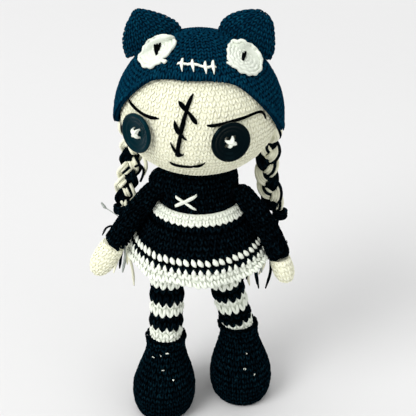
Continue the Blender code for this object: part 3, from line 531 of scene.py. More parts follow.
def petal(start, end, half_width, bow=0.0, fine=True, blunt=0.55):
    """One leg of a stitch in a cell from 0 to 1: points, quads, tips, strands and rises."""
    turns = np.radians([0, 42, 90, 138, 180, 270] if fine else [0, 60, 120, 180, 270])
    shares = np.array([0.07, 0.27, 0.5, 0.73, 0.93] if fine else [0.10, 0.36, 0.64, 0.90])
    sides = len(turns)
    start, end = np.array(start, float), np.array(end, float)
    ahead = end - start
    length = np.linalg.norm(ahead)
    across = np.array([ahead[1], -ahead[0]]) / length
    points, strands = [], []
    for share in shares:
        centre = start + ahead * share + across * bow * sin(pi * share)
        swell = sin(pi * share) ** blunt
        for turn in turns:
            aside = across * half_width * swell * cos(turn)
            points.append((*(centre + aside), swell * max(sin(turn), -0.5)))
            strands.append((cos(turn), sin(turn), length * share))
    for share, spot in ((0, start), (1, end)):
        points.append((*spot, -0.1))
        strands.append((1.0, 0.0, length * share))
    quads = grid_faces(len(shares), sides)
    first, last = len(points) - 2, len(points) - 1
    top = (len(shares) - 1) * sides
    tips = [(first, (i + 1) % sides, i) for i in range(sides)]
    tips += [(last, top + i, top + (i + 1) % sides) for i in range(sides)]
    return np.array(points), quads, np.array(tips), np.array(strands)


def stitch_template(petals):
    points, quads, tips, strands = [], [], [], []
    count = 0
    for spots, squares, ends, turns in petals:
        points.append(spots)
        strands.append(turns)
        quads.append(squares + count)
        tips.append(ends + count)
        count += len(spots)
    return np.concatenate(points), np.concatenate(quads), np.concatenate(tips), np.concatenate(strands)


def vee(foot, top, half_width, bow, fine=True):
    """A V of two mirrored legs, each from its foot to its top."""
    return stitch_template([
        petal((side * foot[0], foot[1]), (side * top[0], top[1]), half_width, side * bow, fine)
        for side in SIDES])


VEE = vee((0.02, -0.22), (0.40, 0.98), 0.22, 0.04)
TIGHT_VEE = vee((0.06, -0.06), (0.36, 1.00), 0.25, 0.03)
FLAT_VEE = vee((0.06, -0.06), (0.36, 1.00), 0.25, 0.03, False)
SMALL_VEE = vee((0.04, -0.16), (0.38, 0.96), 0.25, 0.04, False)
LONG_VEE = vee((0.03, -0.72), (0.38, 0.98), 0.25, 0.05)
LEANING = stitch_template((petal((0.36, -0.30), (-0.28, 1.06), 0.41, -0.05, blunt=0.85),))
SPIKE = stitch_template((petal((0.06, -0.60), (-0.06, 1.0), 0.34, 0.0, blunt=1.0),))
TOOTH = stitch_template((
    petal((0.10, -0.95), (-0.30, 0.95), 0.33, -0.10, blunt=0.95),
    petal((0.14, -0.75), (0.26, 0.95), 0.28, 0.06, blunt=0.85),
))

# How the body, the cap and the bands are crocheted
BODY_STITCHES = dict(template=SMALL_VEE, row_height=0.0030, stitch_width=0.0034, plump=0.0006, drift=0.37)
CAP_STITCHES = dict(template=SMALL_VEE, row_height=0.0027, stitch_width=0.0031, plump=0.0006, drift=0.37)
BAND_STITCHES = dict(row_height=0.0034, stitch_width=0.0040)
SKIRT_EDGE_STITCHES = dict(row_height=1.0, stitch_width=0.0042)
FEWEST_STITCHES = 5


def lay_stitches(weaving, shell, heights, turns, tall, wide, template, plump, slots, lift=0.0, seed=0):
    """Lays a copy of a template at each height and turn of a shell."""
    points, quads, tips, strands = template
    total, each = len(heights), len(points)
    if not total:
        return
    random = np.random.default_rng(yarn_settings().seed + seed)
    size = 1 + random.normal(0, 0.05, (total, 2))
    shift = random.normal(0, 0.045, (total, 2))
    height = heights[:, None] + (points[None, :, 1] * size[:, :1] + shift[:, :1]) * tall[:, None]
    turn = turns[:, None] + (points[None, :, 0] * size[:, 1:] + shift[:, 1:]) * wide[:, None]
    spots, normals = shell.read(height, turn)
    swell = plump * (1 + random.normal(0, 0.12, (total, 1)))
    beyond = np.maximum(height - 1, 0) + np.minimum(height, 0)
    spots = spots + normals * (lift + points[None, :, 2] * swell)[..., None]
    if np.any(beyond):
        ends = shell.grid.mean(axis=1)
        out = np.where(beyond > 0, 1, 0)[..., None] * (ends[-1] - ends[-4])
        out = out + np.where(beyond < 0, 1, 0)[..., None] * (ends[3] - ends[0])
        out = out / np.maximum(np.linalg.norm(out, axis=-1, keepdims=True), 1e-12)
        spots = spots + out * (beyond * shell.length)[..., None]
    offsets = (np.arange(total) * each)[:, None, None]
    row = np.repeat(strands[None], total, axis=0)
    row[:, :, 2] = row[:, :, 2] * yarn_settings().row_height + random.uniform(0, 1, (total, 1))
    shade = np.zeros((total, each, 3))
    # The rise: how high a point stands on its stitch, from which the material paints shade low down and highlights
    # high up
    shade[:, :, 0] = np.clip((points[None, :, 2] + 0.35) / 1.35, 0, 1)
    shade[:, :, 1] = random.uniform(0, 1, (total, 1))
    faces = ((quads[None] + offsets).reshape(-1, 4), (tips[None] + offsets).reshape(-1, 3))
    weaving.add(spots, faces, slots, row.reshape(-1, 3), shade.reshape(-1, 3))


def crochet(weaving, shell, slot=0, template=VEE, row_height=None, stitch_width=None, plump=None,
            keep=None, drift=0.12, first=0.0, last=1.0, seed=0, lift=0.0):
    """Fills a shell with rounds of stitches. keep takes shares of the height and of the way round."""
    yarn = yarn_settings()
    row_height = row_height or yarn.row_height
    stitch_width = stitch_width or yarn.stitch_width
    plump = plump or yarn.plumpness
    rows = max(1, round(shell.length * (last - first) / row_height))
    tall = (last - first) / rows
    heights, turns, talls, wides, slots = [], [], [], [], []
    for row in range(rows):
        low = first + tall * row
        count = max(FEWEST_STITCHES, round(shell.girth(low + tall * 0.5) / stitch_width))
        spots = (np.arange(count) + drift * row) / count
        if keep is not None:
            spots = spots[[keep(low + tall * 0.5, spot % 1.0) for spot in spots]]
        heights.append(np.full(len(spots), low))
        turns.append(spots)
        talls.append(np.full(len(spots), tall))
        wides.append(np.full(len(spots), 1 / count))
        slots.append(np.full(len(spots), slot))
    lay_stitches(
        weaving, shell, np.concatenate(heights), np.concatenate(turns), np.concatenate(talls),
        np.concatenate(wides), template, plump, np.concatenate(slots), lift, seed)

def lay_skin(weaving, shell, depth, slot=0, slot_of=None):
    """The closed skin under the stitches."""
    points = shell.over(-depth)
    columns = shell.columns
    quads = grid_faces(shell.rows, columns)
    slots = np.full(len(quads), slot)
    if slot_of is not None:
        rows = (np.arange(len(quads)) // columns + 0.5) / (shell.rows - 1)
        slots = np.array([slot_of(row) for row in rows])
    weaving.add(points, (quads,), slots)
    for at_end in (False, True):
        ring = points[-1] if at_end else points[0]
        fan = np.vstack([ring, ring.mean(axis=0)])
        faces = [
            (i, (i + 1) % columns, columns) if at_end else ((i + 1) % columns, i, columns)
            for i in range(columns)
        ]
        weaving.add(fan, (faces,), int(slots[-1] if at_end else slots[0]))


def rope(weaving, path, radii, slot=0, sides=8, seed=0, out=None):
    """A yarn along points, with a radius at each and rounded ends. Its first corner looks out."""
    path = np.asarray(path, float)
    count = len(path)
    radii = np.broadcast_to(np.asarray(radii, float), count)
    ahead = np.gradient(path, axis=0)
    ahead /= np.maximum(np.linalg.norm(ahead, axis=1, keepdims=True), 1e-12)
    across = np.zeros_like(path)
    side = np.array(out if out is not None else (0.0, 1.0, 0.0))
    if abs(ahead[0] @ side) > 0.95:
        side = np.array((1.0, 0.0, 0.0))
    for i in range(count):
        side = side - ahead[i] * (side @ ahead[i])
        side /= max(np.linalg.norm(side), 1e-12)
        across[i] = side
    up = np.cross(ahead, across)
    along = np.concatenate([[0], np.cumsum(np.linalg.norm(np.diff(path, axis=0), axis=1))])
    centres, sizes, frames, marks = [], [], [], []
    for share in (0.35, 0.75):
        centres.append(path[0] - ahead[0] * radii[0] * sqrt(1 - share ** 2))
        sizes.append(radii[0] * share)
        frames.append(0)
        marks.append(0)
    for i in range(count):
        centres.append(path[i])
        sizes.append(radii[i])
        frames.append(i)
        marks.append(along[i])
    for share in (0.75, 0.35):
        centres.append(path[-1] + ahead[-1] * radii[-1] * sqrt(1 - share ** 2))
        sizes.append(radii[-1] * share)
        frames.append(count - 1)
        marks.append(along[-1])
    centres, sizes, frames = np.array(centres), np.array(sizes), np.array(frames)
    turns = 2 * pi * np.arange(sides) / sides
    ring = (
        across[frames][:, None] * np.cos(turns)[None, :, None]
        + up[frames][:, None] * np.sin(turns)[None, :, None]
    )
    points = centres[:, None] + ring * sizes[:, None, None]
    total = len(centres)
    strand = np.zeros((total, sides, 3))
    strand[:, :, 0] = np.cos(turns)
    strand[:, :, 1] = np.sin(turns)
    strand[:, :, 2] = np.array(marks)[:, None] + seed * 0.013
    points = np.vstack([points.reshape(-1, 3), centres[:1], centres[-1:]])
    strand = np.vstack([strand.reshape(-1, 3), [(1, 0, 0), (1, 0, 0)]])
    quads = grid_faces(total, sides)[:, ::-1]
    first, last = total * sides, total * sides + 1
    top = (total - 1) * sides
    tips = [(first, i, (i + 1) % sides) for i in range(sides)]
    tips += [(last, top + (i + 1) % sides, top + i) for i in range(sides)]
    random = np.random.default_rng(seed + 11)
    rows = np.zeros((len(points), 3))
    # A rope stands high on the rise, so it gets little painted shade
    rows[:, 0] = 0.8
    rows[:, 1] = random.uniform(0, 1)
    weaving.add(points, (quads, tips), slot, strand, rows)


def middle_between(node, low, high):
    """The mean of a node's corners between two heights."""
    spots = corners_of(node)
    return Vector(spots[(spots[:, 2] > low) & (spots[:, 2] < high)].mean(axis=0))


def smooth_path(points, count):
    """A Catmull-Rom curve through points."""
    points = np.asarray(points, float)
    padded = np.vstack([2 * points[0] - points[1], points, 2 * points[-1] - points[-2]])
    spots = np.linspace(0, len(points) - 1 - 1e-9, count)
    i = spots.astype(int)
    t = (spots - i)[:, None]
    a, b, c, d = (padded[i + k] for k in range(4))
    return 0.5 * (2 * b + (c - a) * t + (2 * a - 5 * b + 4 * c - d) * t ** 2 + (3 * b - a - 3 * c + d) * t ** 3)


def finish_piece(weaving, name, materials, body, nodes):
    made = weaving.make(name, materials)
    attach(made, body)
    if nodes:
        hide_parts(*nodes)
    return made


def side_word(sign):
    return "left" if sign < 0 else "right"


# Head and face
HEAD_CROWN = 0.0462
HEAD_CHIN = 0.0325
HEAD_REACH = np.array((0.0450, 0.0442, HEAD_CROWN))
BODY_ASIDE = next(joint for joint in frame["joints"] if joint["name"] == "head_turn")["pos_m"][0]
HEAD_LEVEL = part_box("head")[1].z - HEAD_CROWN
HEAD_CENTRE = np.array((BODY_ASIDE, 0.0, HEAD_LEVEL))
CAP_REACH = np.array((0.0486, 0.0478, 0.0489))
UP = Vector((0, 0, 1))
BACK = Vector((0, 1, 0))


def sight(aside, down):
    """The camera's place, and its line of sight through a place on the picture, 416 units wide."""
    stage = bpy.context.scene.doll_stage
    back = np.array(view_back(stage))
    right = np.array((cos(stage.azimuth), sin(stage.azimuth), 0.0))
    up = np.cross(back, right)
    origin = np.array((BODY_ASIDE, 0.0, stage.target_level)) + back * stage.distance
    focal = stage.lens_share * PICTURE
    way = right * (aside - PICTURE_MIDDLE[0]) / focal - up * (down - PICTURE_MIDDLE[1]) / focal - back
    return origin, way


def seen_on(reach, aside, down, lift=0.0):
    """The place on the head or the cap that is seen at a place on the picture."""
    origin, way = sight(aside, down)
    for tall in (reach[2], HEAD_CHIN):
        axes = np.array((reach[0] + lift, reach[1] + lift, tall + lift))
        start, step = (origin - HEAD_CENTRE) / axes, way / axes
        a, b, c = step @ step, start @ step, start @ start - 1
        away = (-b - sqrt(max(b * b - a * c, 0.0))) / a
        unit = start + step * away
        unit /= np.linalg.norm(unit)
        if (unit[2] >= 0) == (tall == reach[2]):
            break
    spot = HEAD_CENTRE + unit * axes
    normal = unit / axes
    return spot, normal / np.linalg.norm(normal)


def seen_node(tree, aside, down, lift=0.0):
    """The place seen on a node's skin, lifted from it along the line of sight and its normal."""
    origin, way = sight(aside, down)
    way = Vector(way).normalized()
    spot, normal, _, _ = tree.ray_cast(Vector(origin), way, 2.0)
    if spot is None:
        raise RuntimeError(f"nothing is seen at {aside}, {down}")
    facing = max(-normal.dot(way), 0.35)
    return np.array(spot - way * (lift / facing)), np.array(normal)


def sew(weaving, marks, place, lift, steps, seed, sink=0.0009):
    """One stitch through marks of (aside, down, radius in millimetres) on the picture; its ends go in."""
    marks = np.array(marks, float)
    curve = smooth_path(marks, steps)
    spots, ways = [], []
    for i, (aside, down, _) in enumerate(curve):
        spot, normal = place(aside, down, lift)
        share = i / (steps - 1)
        dive = sink * (1 - min(1.0, sin(pi * share) * 2.2))
        spots.append(spot - normal * dive)
        ways.append(normal)
    radii = np.maximum(curve[:, 2], 0.12) * 0.001
    rope(weaving, spots, radii, seed=seed, out=np.mean(ways, axis=0))


def head_shell():
    tilts = np.concatenate([np.linspace(-63, 80, 40), [84, 87, 89]])
    spine = [(HEAD_CENTRE, UP, BACK, radians(tilt)) for tilt in tilts]
    return Shell(cast_rounds("head", spine, 0.08))


def make_head():
    weaving = Weaving()
    shell = head_shell()
    lay_skin(weaving, shell, 0.0002)
    crochet(weaving, shell, template=FLAT_VEE, row_height=0.0030, stitch_width=0.0038, plump=0.0003, seed=1)
    finish_piece(weaving, "head_cover", ["cream"], "head", ["head"])
    make_fill("head_stuffing", "head", 0.0007)
    make_fill("torso_stuffing", "torso", 0.0005)


def make_fill(node, body, lumps):
    """Fibre fill: the node's form with soft lumps."""
    low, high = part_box(node)
    centre = (low + high) / 2
    spine = [(centre, UP, BACK, radians(tilt)) for tilt in np.linspace(-86, 86, 48)]
    rounds = np.array(cast_rounds(node, spine, 0.08))
    shell = Shell(rounds, rows=64, columns=96)
    row, column = np.meshgrid(np.linspace(0, 1, 64), np.arange(96) / 96 * 2 * pi, indexing="ij")
    swell = np.sin(column * 7 + row * 19) * np.sin(row * 31 + np.cos(column * 3) * 2)
    shell.grid = shell.grid + shell.normal * ((swell - 1) * lumps)[..., None]
    weaving = Weaving()
    lay_skin(weaving, shell, 0.0)
    finish_piece(weaving, f"{node}_fill", ["fibre"], body, [node])


LEFT_BROW = (
    (127.6, 98.8, 0.30), (130.5, 103.0, 0.60), (134.2, 107.2, 0.70), (139.0, 111.4, 0.70),
    (145.0, 115.2, 0.75), (151.0, 117.5, 0.85), (157.3, 118.6, 0.60),
)
RIGHT_BROW = (
    (208.0, 126.0, 0.60), (213.0, 125.8, 0.80), (221.0, 124.3, 0.70), (230.0, 121.8, 0.65), (238.0, 119.6, 0.75),
    (246.0, 117.0, 0.70), (254.0, 113.6, 0.65), (260.0, 111.8, 0.65), (264.0, 113.4, 0.65), (267.2, 119.4, 0.40),
)
MOUTH = (
    ((168.3, 162.4, 0.20), (174.5, 164.6, 0.75), (182.0, 166.4, 0.65), (190.0, 167.0, 0.60), (194.6, 166.8, 0.45)),
    ((192.6, 166.9, 0.50), (199.0, 166.0, 0.70), (205.5, 163.4, 0.18)),
)
SCAR = (
    ((193.0, 93.4, 0.20), (191.5, 97.0, 0.65), (189.3, 102.0, 0.95), (187.0, 108.0, 1.00), (185.6, 114.0, 0.75)),
    ((187.2, 108.0, 0.60), (184.6, 117.0, 0.90), (182.4, 126.0, 1.05), (180.8, 134.0, 0.80)),
    ((181.6, 131.0, 0.60), (179.8, 139.0, 0.95), (178.3, 147.0, 1.00), (177.4, 155.6, 0.85)),
    ((178.2, 100.8, 0.20), (181.3, 104.6, 1.10), (185.0, 109.2, 0.95), (187.6, 112.0, 0.50)),
    ((187.4, 111.2, 0.50), (191.4, 116.6, 0.95), (194.8, 121.4, 1.05), (196.6, 124.0, 0.45)),
    ((174.2, 121.0, 0.20), (175.6, 126.2, 1.05), (177.9, 131.6, 1.10), (180.6, 135.4, 0.60)),
    ((181.0, 134.6, 0.60), (184.0, 138.4, 0.60), (186.8, 140.4, 0.20)),
    ((170.2, 142.6, 0.20), (172.6, 147.2, 0.55), (176.2, 153.2, 0.80)),
    ((176.4, 155.4, 0.95), (180.4, 155.2, 0.80), (183.2, 155.4, 0.25)),
)


def make_face():
    for name, nodes, strokes in (
        ("left_eyebrow_thread", "left_eyebrow", (LEFT_BROW,)),
        ("right_eyebrow_thread", "right_eyebrow", (RIGHT_BROW,)),
        ("mouth_thread", "mouth_stitch", MOUTH),
        ("forehead_thread", "forehead_stitches", SCAR),
    ):
        weaving = Weaving()
        for index, marks in enumerate(strokes):
            lift = 0.0003 + 0.0002 * (index % 3)
            marks = [(aside, down, radius * 1.2) for aside, down, radius in marks]
            sew(weaving, marks, partial(seen_on, HEAD_REACH), lift, steps=24, seed=index)
        finish_piece(weaving, name, ["thread"], "head", [nodes])


BUTTON_PROFILE = (
    (0.0096, 0.0000), (0.0108, 0.0004), (0.0113, 0.0013), (0.0112, 0.0021), (0.0106, 0.0027), (0.0099, 0.0028),
    (0.0092, 0.0025), (0.0085, 0.0019), (0.0080, 0.0018), (0.0074, 0.0019), (0.0069, 0.0017), (0.0063, 0.0013),
    (0.0050, 0.00115), (0.0030, 0.00112),
)
BUTTON_HOLE = 0.0011
BUTTON_HOLE_REACH = 0.0030
BUTTON_STAND = 0.0013
BUTTON_SIDES = 96

# The star of yarn in a button: each strand's turn in degrees, and its place aside in millimetres
STAR = ((45, -0.5), (45, 0.5), (135, -0.5), (135, 0.5), (47, 0.0), (133, 0.0))


def head_normal(spot):
    way = (np.array(spot) - HEAD_CENTRE) / HEAD_REACH ** 2
    return Vector(way / np.linalg.norm(way))


def make_button(sign):
    word = side_word(sign)
    azimuth = radians(-7) + radians(-35 if sign < 0 else 32)
    tilt = asin(0.0030 / HEAD_CROWN)
    unit = np.array((cos(tilt) * sin(azimuth), -cos(tilt) * cos(azimuth), sin(tilt)))
    seat = Vector(HEAD_CENTRE + unit * HEAD_REACH)
    facing = head_normal(seat)
    seat = seat + facing * BUTTON_STAND
    turn = facing.to_track_quat("Z", "Y").to_matrix().to_4x4()
    turn.translation = seat

    steps = BUTTON_SIDES
    bm = bmesh.new()
    rings = []
    for radius, height in BUTTON_PROFILE:
        ring = [
            bm.verts.new((radius * cos(2 * pi * i / steps), radius * sin(2 * pi * i / steps), height))
            for i in range(steps)
        ]
        rings.append(ring)
    for low, high in zip(rings, rings[1:]):
        for i in range(steps):
            bm.faces.new((low[i], low[(i + 1) % steps], high[(i + 1) % steps], high[i]))
    bm.faces.new(rings[0][::-1])
    bm.faces.new(rings[-1])
    plate = bpy.data.meshes.new("button")
    bm.to_mesh(plate)
    bm.free()
    button = bpy.data.objects.new(f"{word}_button", plate)
    bpy.context.scene.collection.objects.link(button)
    bm = bmesh.new()
    for index in range(4):
        angle = pi / 4 + pi / 2 * index
        shift = Matrix.Translation((BUTTON_HOLE_REACH * cos(angle), BUTTON_HOLE_REACH * sin(angle), 0))
        bmesh.ops.create_cone(
            bm, cap_ends=True, segments=24, radius1=BUTTON_HOLE, radius2=BUTTON_HOLE, depth=0.01, matrix=shift)
    holes = bpy.data.meshes.new("holes")
    bm.to_mesh(holes)
    bm.free()
    drill = bpy.data.objects.new("holes", holes)
    bpy.context.scene.collection.objects.link(drill)
    cut = button.modifiers.new("holes", "BOOLEAN")
    cut.operation = "DIFFERENCE"
    cut.solver = "EXACT"
    cut.object = drill
    graph = bpy.context.evaluated_depsgraph_get()
    drilled = bpy.data.meshes.new_from_object(button.evaluated_get(graph))
    button.modifiers.clear()
    button.data = drilled
    bpy.data.objects.remove(drill)
    drilled.transform(turn)
    drilled.materials.clear()
    drilled.materials.append(material("plastic"))
    for face in drilled.polygons:
        face.use_smooth = True
    drilled.set_sharp_from_angle(angle=radians(40))
    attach(button, "head")
    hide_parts(f"{word}_button_eye")

    weaving = Weaving()
    rotate = radians(8 if sign < 0 else 24)
    for index, (angle, aside) in enumerate(STAR):
        angle = radians(angle) + rotate
        top = 0.0021 + 0.0003 * index
        path = []
        for share in np.linspace(-1, 1, 17):
            out = BUTTON_HOLE_REACH * 1.14 * share
            over = 0.001 * aside * (1 - 0.9 * share ** 2)
            height = top - (top - 0.0002) * abs(share) ** 6
            spot = Vector((out * cos(angle) - over * sin(angle), out * sin(angle) + over * cos(angle), height))
            path.append(turn @ spot)
        radii = np.array([0.00036 + 0.00056 * cos(pi / 2 * share) for share in np.linspace(-1, 1, 17)])
        rope(weaving, path, radii, seed=index, out=facing)
    finish_piece(weaving, f"{word}_button_star", ["white"], "head", [f"{word}_button_thread"])


# Torso. The slopes of its shoulders: the side, the distance aside and the size
SHOULDER_SLOPES = ((-1, 0.0190, 1.0), (1, 0.0150, 0.70))
NECK_HEIGHT = 0.0055
CHEST_CROSS = (
    ((174.4, 196.0, 0.30), (178.0, 198.4, 0.85), (184.0, 202.2, 0.70), (190.5, 206.6, 0.80), (195.4, 209.8, 0.35)),
    ((173.6, 206.2, 0.30), (178.0, 204.4, 0.80), (184.6, 201.6, 0.70), (191.0, 198.4, 0.85), (196.4, 195.6, 0.30)),
)


def make_torso():
    weaving = Weaving()
    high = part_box("torso")[1]
    shelf = high.z - NECK_HEIGHT
    spine = []
    for level, tilt in ((0.126, -80), (0.126, -60), (0.126, -40), (0.127, -20)):
        spine.append((Vector((BODY_ASIDE, 0, level)), UP, BACK, radians(tilt)))
    for level in np.linspace(0.1275, shelf - 0.006, 26):
        spine.append((Vector((BODY_ASIDE, 0, level)), UP, BACK, 0.0))
    for tilt in (5, 9, 13, 17, 20):
        spine.append((Vector((BODY_ASIDE, 0, shelf - 0.006)), UP, BACK, radians(tilt)))
    rounds = np.array(cast_rounds("torso", spine, 0.05))
    shell = Shell(rounds)
    lay_skin(weaving, shell, 0.0005)
    crochet(weaving, shell, seed=2, **BODY_STITCHES)
    for sign, aside, size in SHOULDER_SLOPES:
        centre = np.array((BODY_ASIDE + sign * aside, -0.0060, shelf - 0.0014 - 0.0078 * size))
        tilts, turns = np.radians(np.linspace(-88, 88, 30)), 2 * pi * np.arange(72) / 72
        rounds = [
            [centre + size * np.array((
                -0.0100 * cos(tilt) * sin(turn), 0.0100 * cos(tilt) * cos(turn), 0.0078 * sin(tilt)))
                for turn in turns]
            for tilt in tilts
        ]
        slope = Shell(rounds, rows=40)
        lay_skin(weaving, slope, 0.0005)
        crochet(weaving, slope, seed=8 + sign, plump=0.0005, row_height=0.0034, stitch_width=0.0038)
    neck_spine = straight_spine(
        (BODY_ASIDE, 0, shelf + 0.0003), (BODY_ASIDE, 0, high.z - 0.0003), (0, 1, 0), 4)
    neck = Shell(cast_rounds("torso", neck_spine, 0.02), rows=12)
    lay_skin(weaving, neck, 0.0001)
    finish_piece(weaving, "torso_cover", ["black"], "torso", ["torso"])

    weaving = Weaving()
    tree = surface_tree("torso")
    place = partial(seen_node, tree)
    for index, marks in enumerate(CHEST_CROSS):
        sew(weaving, marks, place, 0.0010 + 0.0008 * index, steps=21, seed=index, sink=0.0014)
        lower = [(aside + 0.6, down + 1.0, radius * 0.8) for aside, down, radius in marks]
        sew(weaving, lower, place, 0.0007 + 0.0008 * index, steps=21, seed=index + 5, sink=0.0012)
    finish_piece(weaving, "chest_cross_yarn", ["white"], "torso", ["chest_cross"])


def make_waist_band():
    weaving = Weaving()
    low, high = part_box("waist_band")
    spine = straight_spine(
        (BODY_ASIDE, 0, high.z - 0.0002), (BODY_ASIDE, 0, low.z + 0.0002), (0, 1, 0), 12)
    shell = Shell(turned_over(cast_rounds("waist_band", spine, 0.05)), rows=24)
    inner = Shell(turned_over(cast_rounds("waist_band", spine, 0.05, inside=True)), rows=24)
    edge = 0.46
    black = (np.arange(shell.rows) < (shell.rows - 1) * edge).astype(int)
    lay_cloth(weaving, shell, inner, 0.0003, 0.0, np.concatenate([black, black[::-1]]))
    crochet(
        weaving, shell, plump=0.0006, seed=3, first=edge, template=TIGHT_VEE, **BAND_STITCHES)
    crochet(
        weaving, shell, row_height=1.0, stitch_width=0.0040, plump=0.0009, seed=4, first=edge, last=edge + 0.17,
        template=TOOTH, lift=0.0004)
    crochet(
        weaving, shell, plump=0.0006, seed=5, last=edge, slot=1, **BAND_STITCHES)
    finish_piece(weaving, "waist_band_cover", ["white", "black"], "torso", ["waist_band"])


def cloth_shells(node, rows):
    """The outer and inner skins of a hanging cloth, from its top edge down."""
    low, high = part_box(node)
    levels = np.linspace(high.z, low.z, 120)
    tree = surface_tree(node)
    outer, inner = [], []
    for i in range(144):
        turn = 2 * pi * i / 144
        out = Vector((sin(turn), cos(turn), 0))
        sides = ([], [])
        for level in levels:
            centre = Vector((BODY_ASIDE, 0, level))
            spots = (
                tree.ray_cast(centre + out * 0.08, -out, 0.08)[0],
                tree.ray_cast(centre, out, 0.08)[0],
            )
            for side, spot in zip(sides, spots):
                if spot is not None:
                    side.append(tuple(spot))
        for side, skin in zip(sides, (outer, inner)):
            side = np.array(side)
            wanted = np.linspace(0, len(side) - 1, rows)
            skin.append(np.stack([np.interp(wanted, range(len(side)), side[:, k]) for k in range(3)], -1))
    return np.array(outer).swapaxes(0, 1), np.array(inner).swapaxes(0, 1)


def turned_over(rounds):
    """The same rounds from the other end, with their outside kept out."""
    return np.asarray(rounds)[::-1, ::-1]


def add_looped(weaving, rounds, slot=0):
    """Rounds of points skinned in both ways, with the last one joined to the first."""
    columns = rounds.shape[1]
    faces = grid_faces(len(rounds) + 1, columns) % (len(rounds) * columns)
    weaving.add(rounds, (faces,), slot)


def lay_cloth(weaving, shell, lining, depth, inset, slot=0):
    """A closed cloth: an outer skin, a lining and its two edges."""
    outside = shell.over(-depth)
    inside = lining.over(inset)
    lining_rows = inside[np.linspace(0, lining.rows - 1, shell.rows).round().astype(int)]
    rounds = np.concatenate([outside, lining_rows[::-1]])
    add_looped(weaving, rounds, slot)


def make_skirt():
    outer, inner = cloth_shells("skirt", 24)
    shell = Shell(turned_over(outer))
    lining = Shell(turned_over(inner), rows=120)
    cloth = Weaving()
    lay_cloth(cloth, shell, lining, 0.0007, 0.0001)
    base = finish_piece(cloth, "skirt_cloth", ["black"], "torso", ["skirt"])
    weaving = Weaving()
    crochet(weaving, shell, seed=4, plump=0.0007, first=0.29, **BAND_STITCHES)
    crochet(
        weaving, shell, seed=7, plump=0.0012, first=0.175, last=0.34, template=LEANING, slot=1, lift=0.0006,
        **SKIRT_EDGE_STITCHES)
    crochet(
        weaving, shell, seed=6, plump=0.0012, first=0.05, last=0.185, template=TOOTH, lift=0.0009, drift=0.5,
        **SKIRT_EDGE_STITCHES)
    crochet(
        weaving, shell, seed=8, plump=0.0010, first=-0.04, last=0.105, template=SPIKE, slot=1, lift=0.0016,
        drift=0.5, **SKIRT_EDGE_STITCHES)
    stitches = finish_piece(weaving, "skirt_stitches", ["black", "white"], "torso", ())

    outer, inner = cloth_shells("hem_frill", 12)
    frill_shell = Shell(turned_over(outer), 30)
    lining = Shell(turned_over(inner), rows=30)
    frill = Weaving()
    lay_cloth(frill, frill_shell, lining, 0.0008, 0.0001)
    crochet(
        frill, frill_shell, row_height=0.0042, seed=5, plump=0.0008, stitch_width=0.0042, first=-0.06,
        template=TIGHT_VEE)
    hem = finish_piece(frill, "hem_frill_cover", ["white"], "torso", ["hem_frill"])


# Arms. Tilts of the rounds that close a limb over its joint
LIMB_TILTS = (-88, -70, -50, -30, -14)


def joint_place(name):
    return Vector(next(joint for joint in frame["joints"] if joint["name"] == name)["pos_m"])


def centre_line(node, count):
    """Points along the middle of a long upright node, from its top down."""
    spots = corners_of(node)
    low, high = spots[:, 2].min(), spots[:, 2].max()
    levels = np.linspace(high, low, count)
    reach = max((high - low) / (count - 1), 0.004)
    line = []
    for level in levels:
        near = spots[np.abs(spots[:, 2] - level) < reach]
        line.append(near.mean(axis=0))
    return np.array(line)


def make_arm(sign):
    word = side_word(sign)
    shoulder = joint_place(f"{word}_shoulder_swing")
    line = smooth_path(np.vstack([np.array(shoulder), centre_line(f"{word}_sleeve", 14)[4:]]), 26)
    spine = []
    ahead = Vector(line[1] - line[0]).normalized()
    for tilt in LIMB_TILTS:
        spine.append((shoulder, ahead, BACK, radians(tilt)))
    for i, spot in enumerate(line[:-1]):
        ahead = Vector(line[i + 1] - line[max(i - 1, 0)]).normalized()
        spine.append((Vector(spot), ahead, BACK, 0.0))
    shell = Shell(turned_over(cast_rounds(f"{word}_sleeve", spine, 0.03)))
    weaving = Weaving()
    lay_skin(weaving, shell, 0.0005)
    crochet(weaving, shell, seed=20 + sign, first=-0.02, **BODY_STITCHES)
    finish_piece(
        weaving, f"{word}_sleeve_cover", ["black"], f"{word}_arm", [f"{word}_sleeve"])

    hand_line = centre_line(f"{word}_hand", 12)
    ahead = Vector(hand_line[-1] - hand_line[0]).normalized()
    start = Vector(hand_line[0])
    length = (Vector(hand_line[-1]) - start).length
    spine = straight_spine(
        start - ahead * 0.0002, start + ahead * length * 0.62, (0, 1, 0), 12, (), (15, 30, 45, 60, 74, 86))
    shell = Shell(turned_over(cast_rounds(f"{word}_hand", spine, 0.03)))
    weaving = Weaving()
    lay_skin(weaving, shell, 0.0002)
    crochet(
        weaving, shell, seed=30 + sign, template=TIGHT_VEE, plump=0.0005, row_height=0.0033,
        stitch_width=0.0040)
    finish_piece(weaving, f"{word}_hand_cover", ["cream"], f"{word}_arm", [f"{word}_hand"])

    low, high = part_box(f"{word}_shoulder_stitches")
    middle = np.array((low + high) / 2)
    inward = np.array((BODY_ASIDE - shoulder.x, -shoulder.y, 0.0))
    inward /= np.linalg.norm(inward)
    beside = np.cross((0, 0, 1), inward)
    radius = (high.z - low.z) / 2 - 0.0009
    weaving = Weaving()
    for index in range(16):
        turn = 2 * pi * (index + 0.5 * (np.arange(7) / 6 - 0.5) * 2.2) / 16
        out = beside[None] * np.cos(turn)[:, None] + np.array((0, 0, 1.0))[None] * np.sin(turn)[:, None]
        path = middle + out * radius + inward * (np.linspace(-0.0007, 0.0007, 7)[:, None])
        rope(weaving, path, 0.0007, seed=index)
    finish_piece(
        weaving, f"{word}_shoulder_thread", ["thread"], f"{word}_shoulder", [f"{word}_shoulder_stitches"])


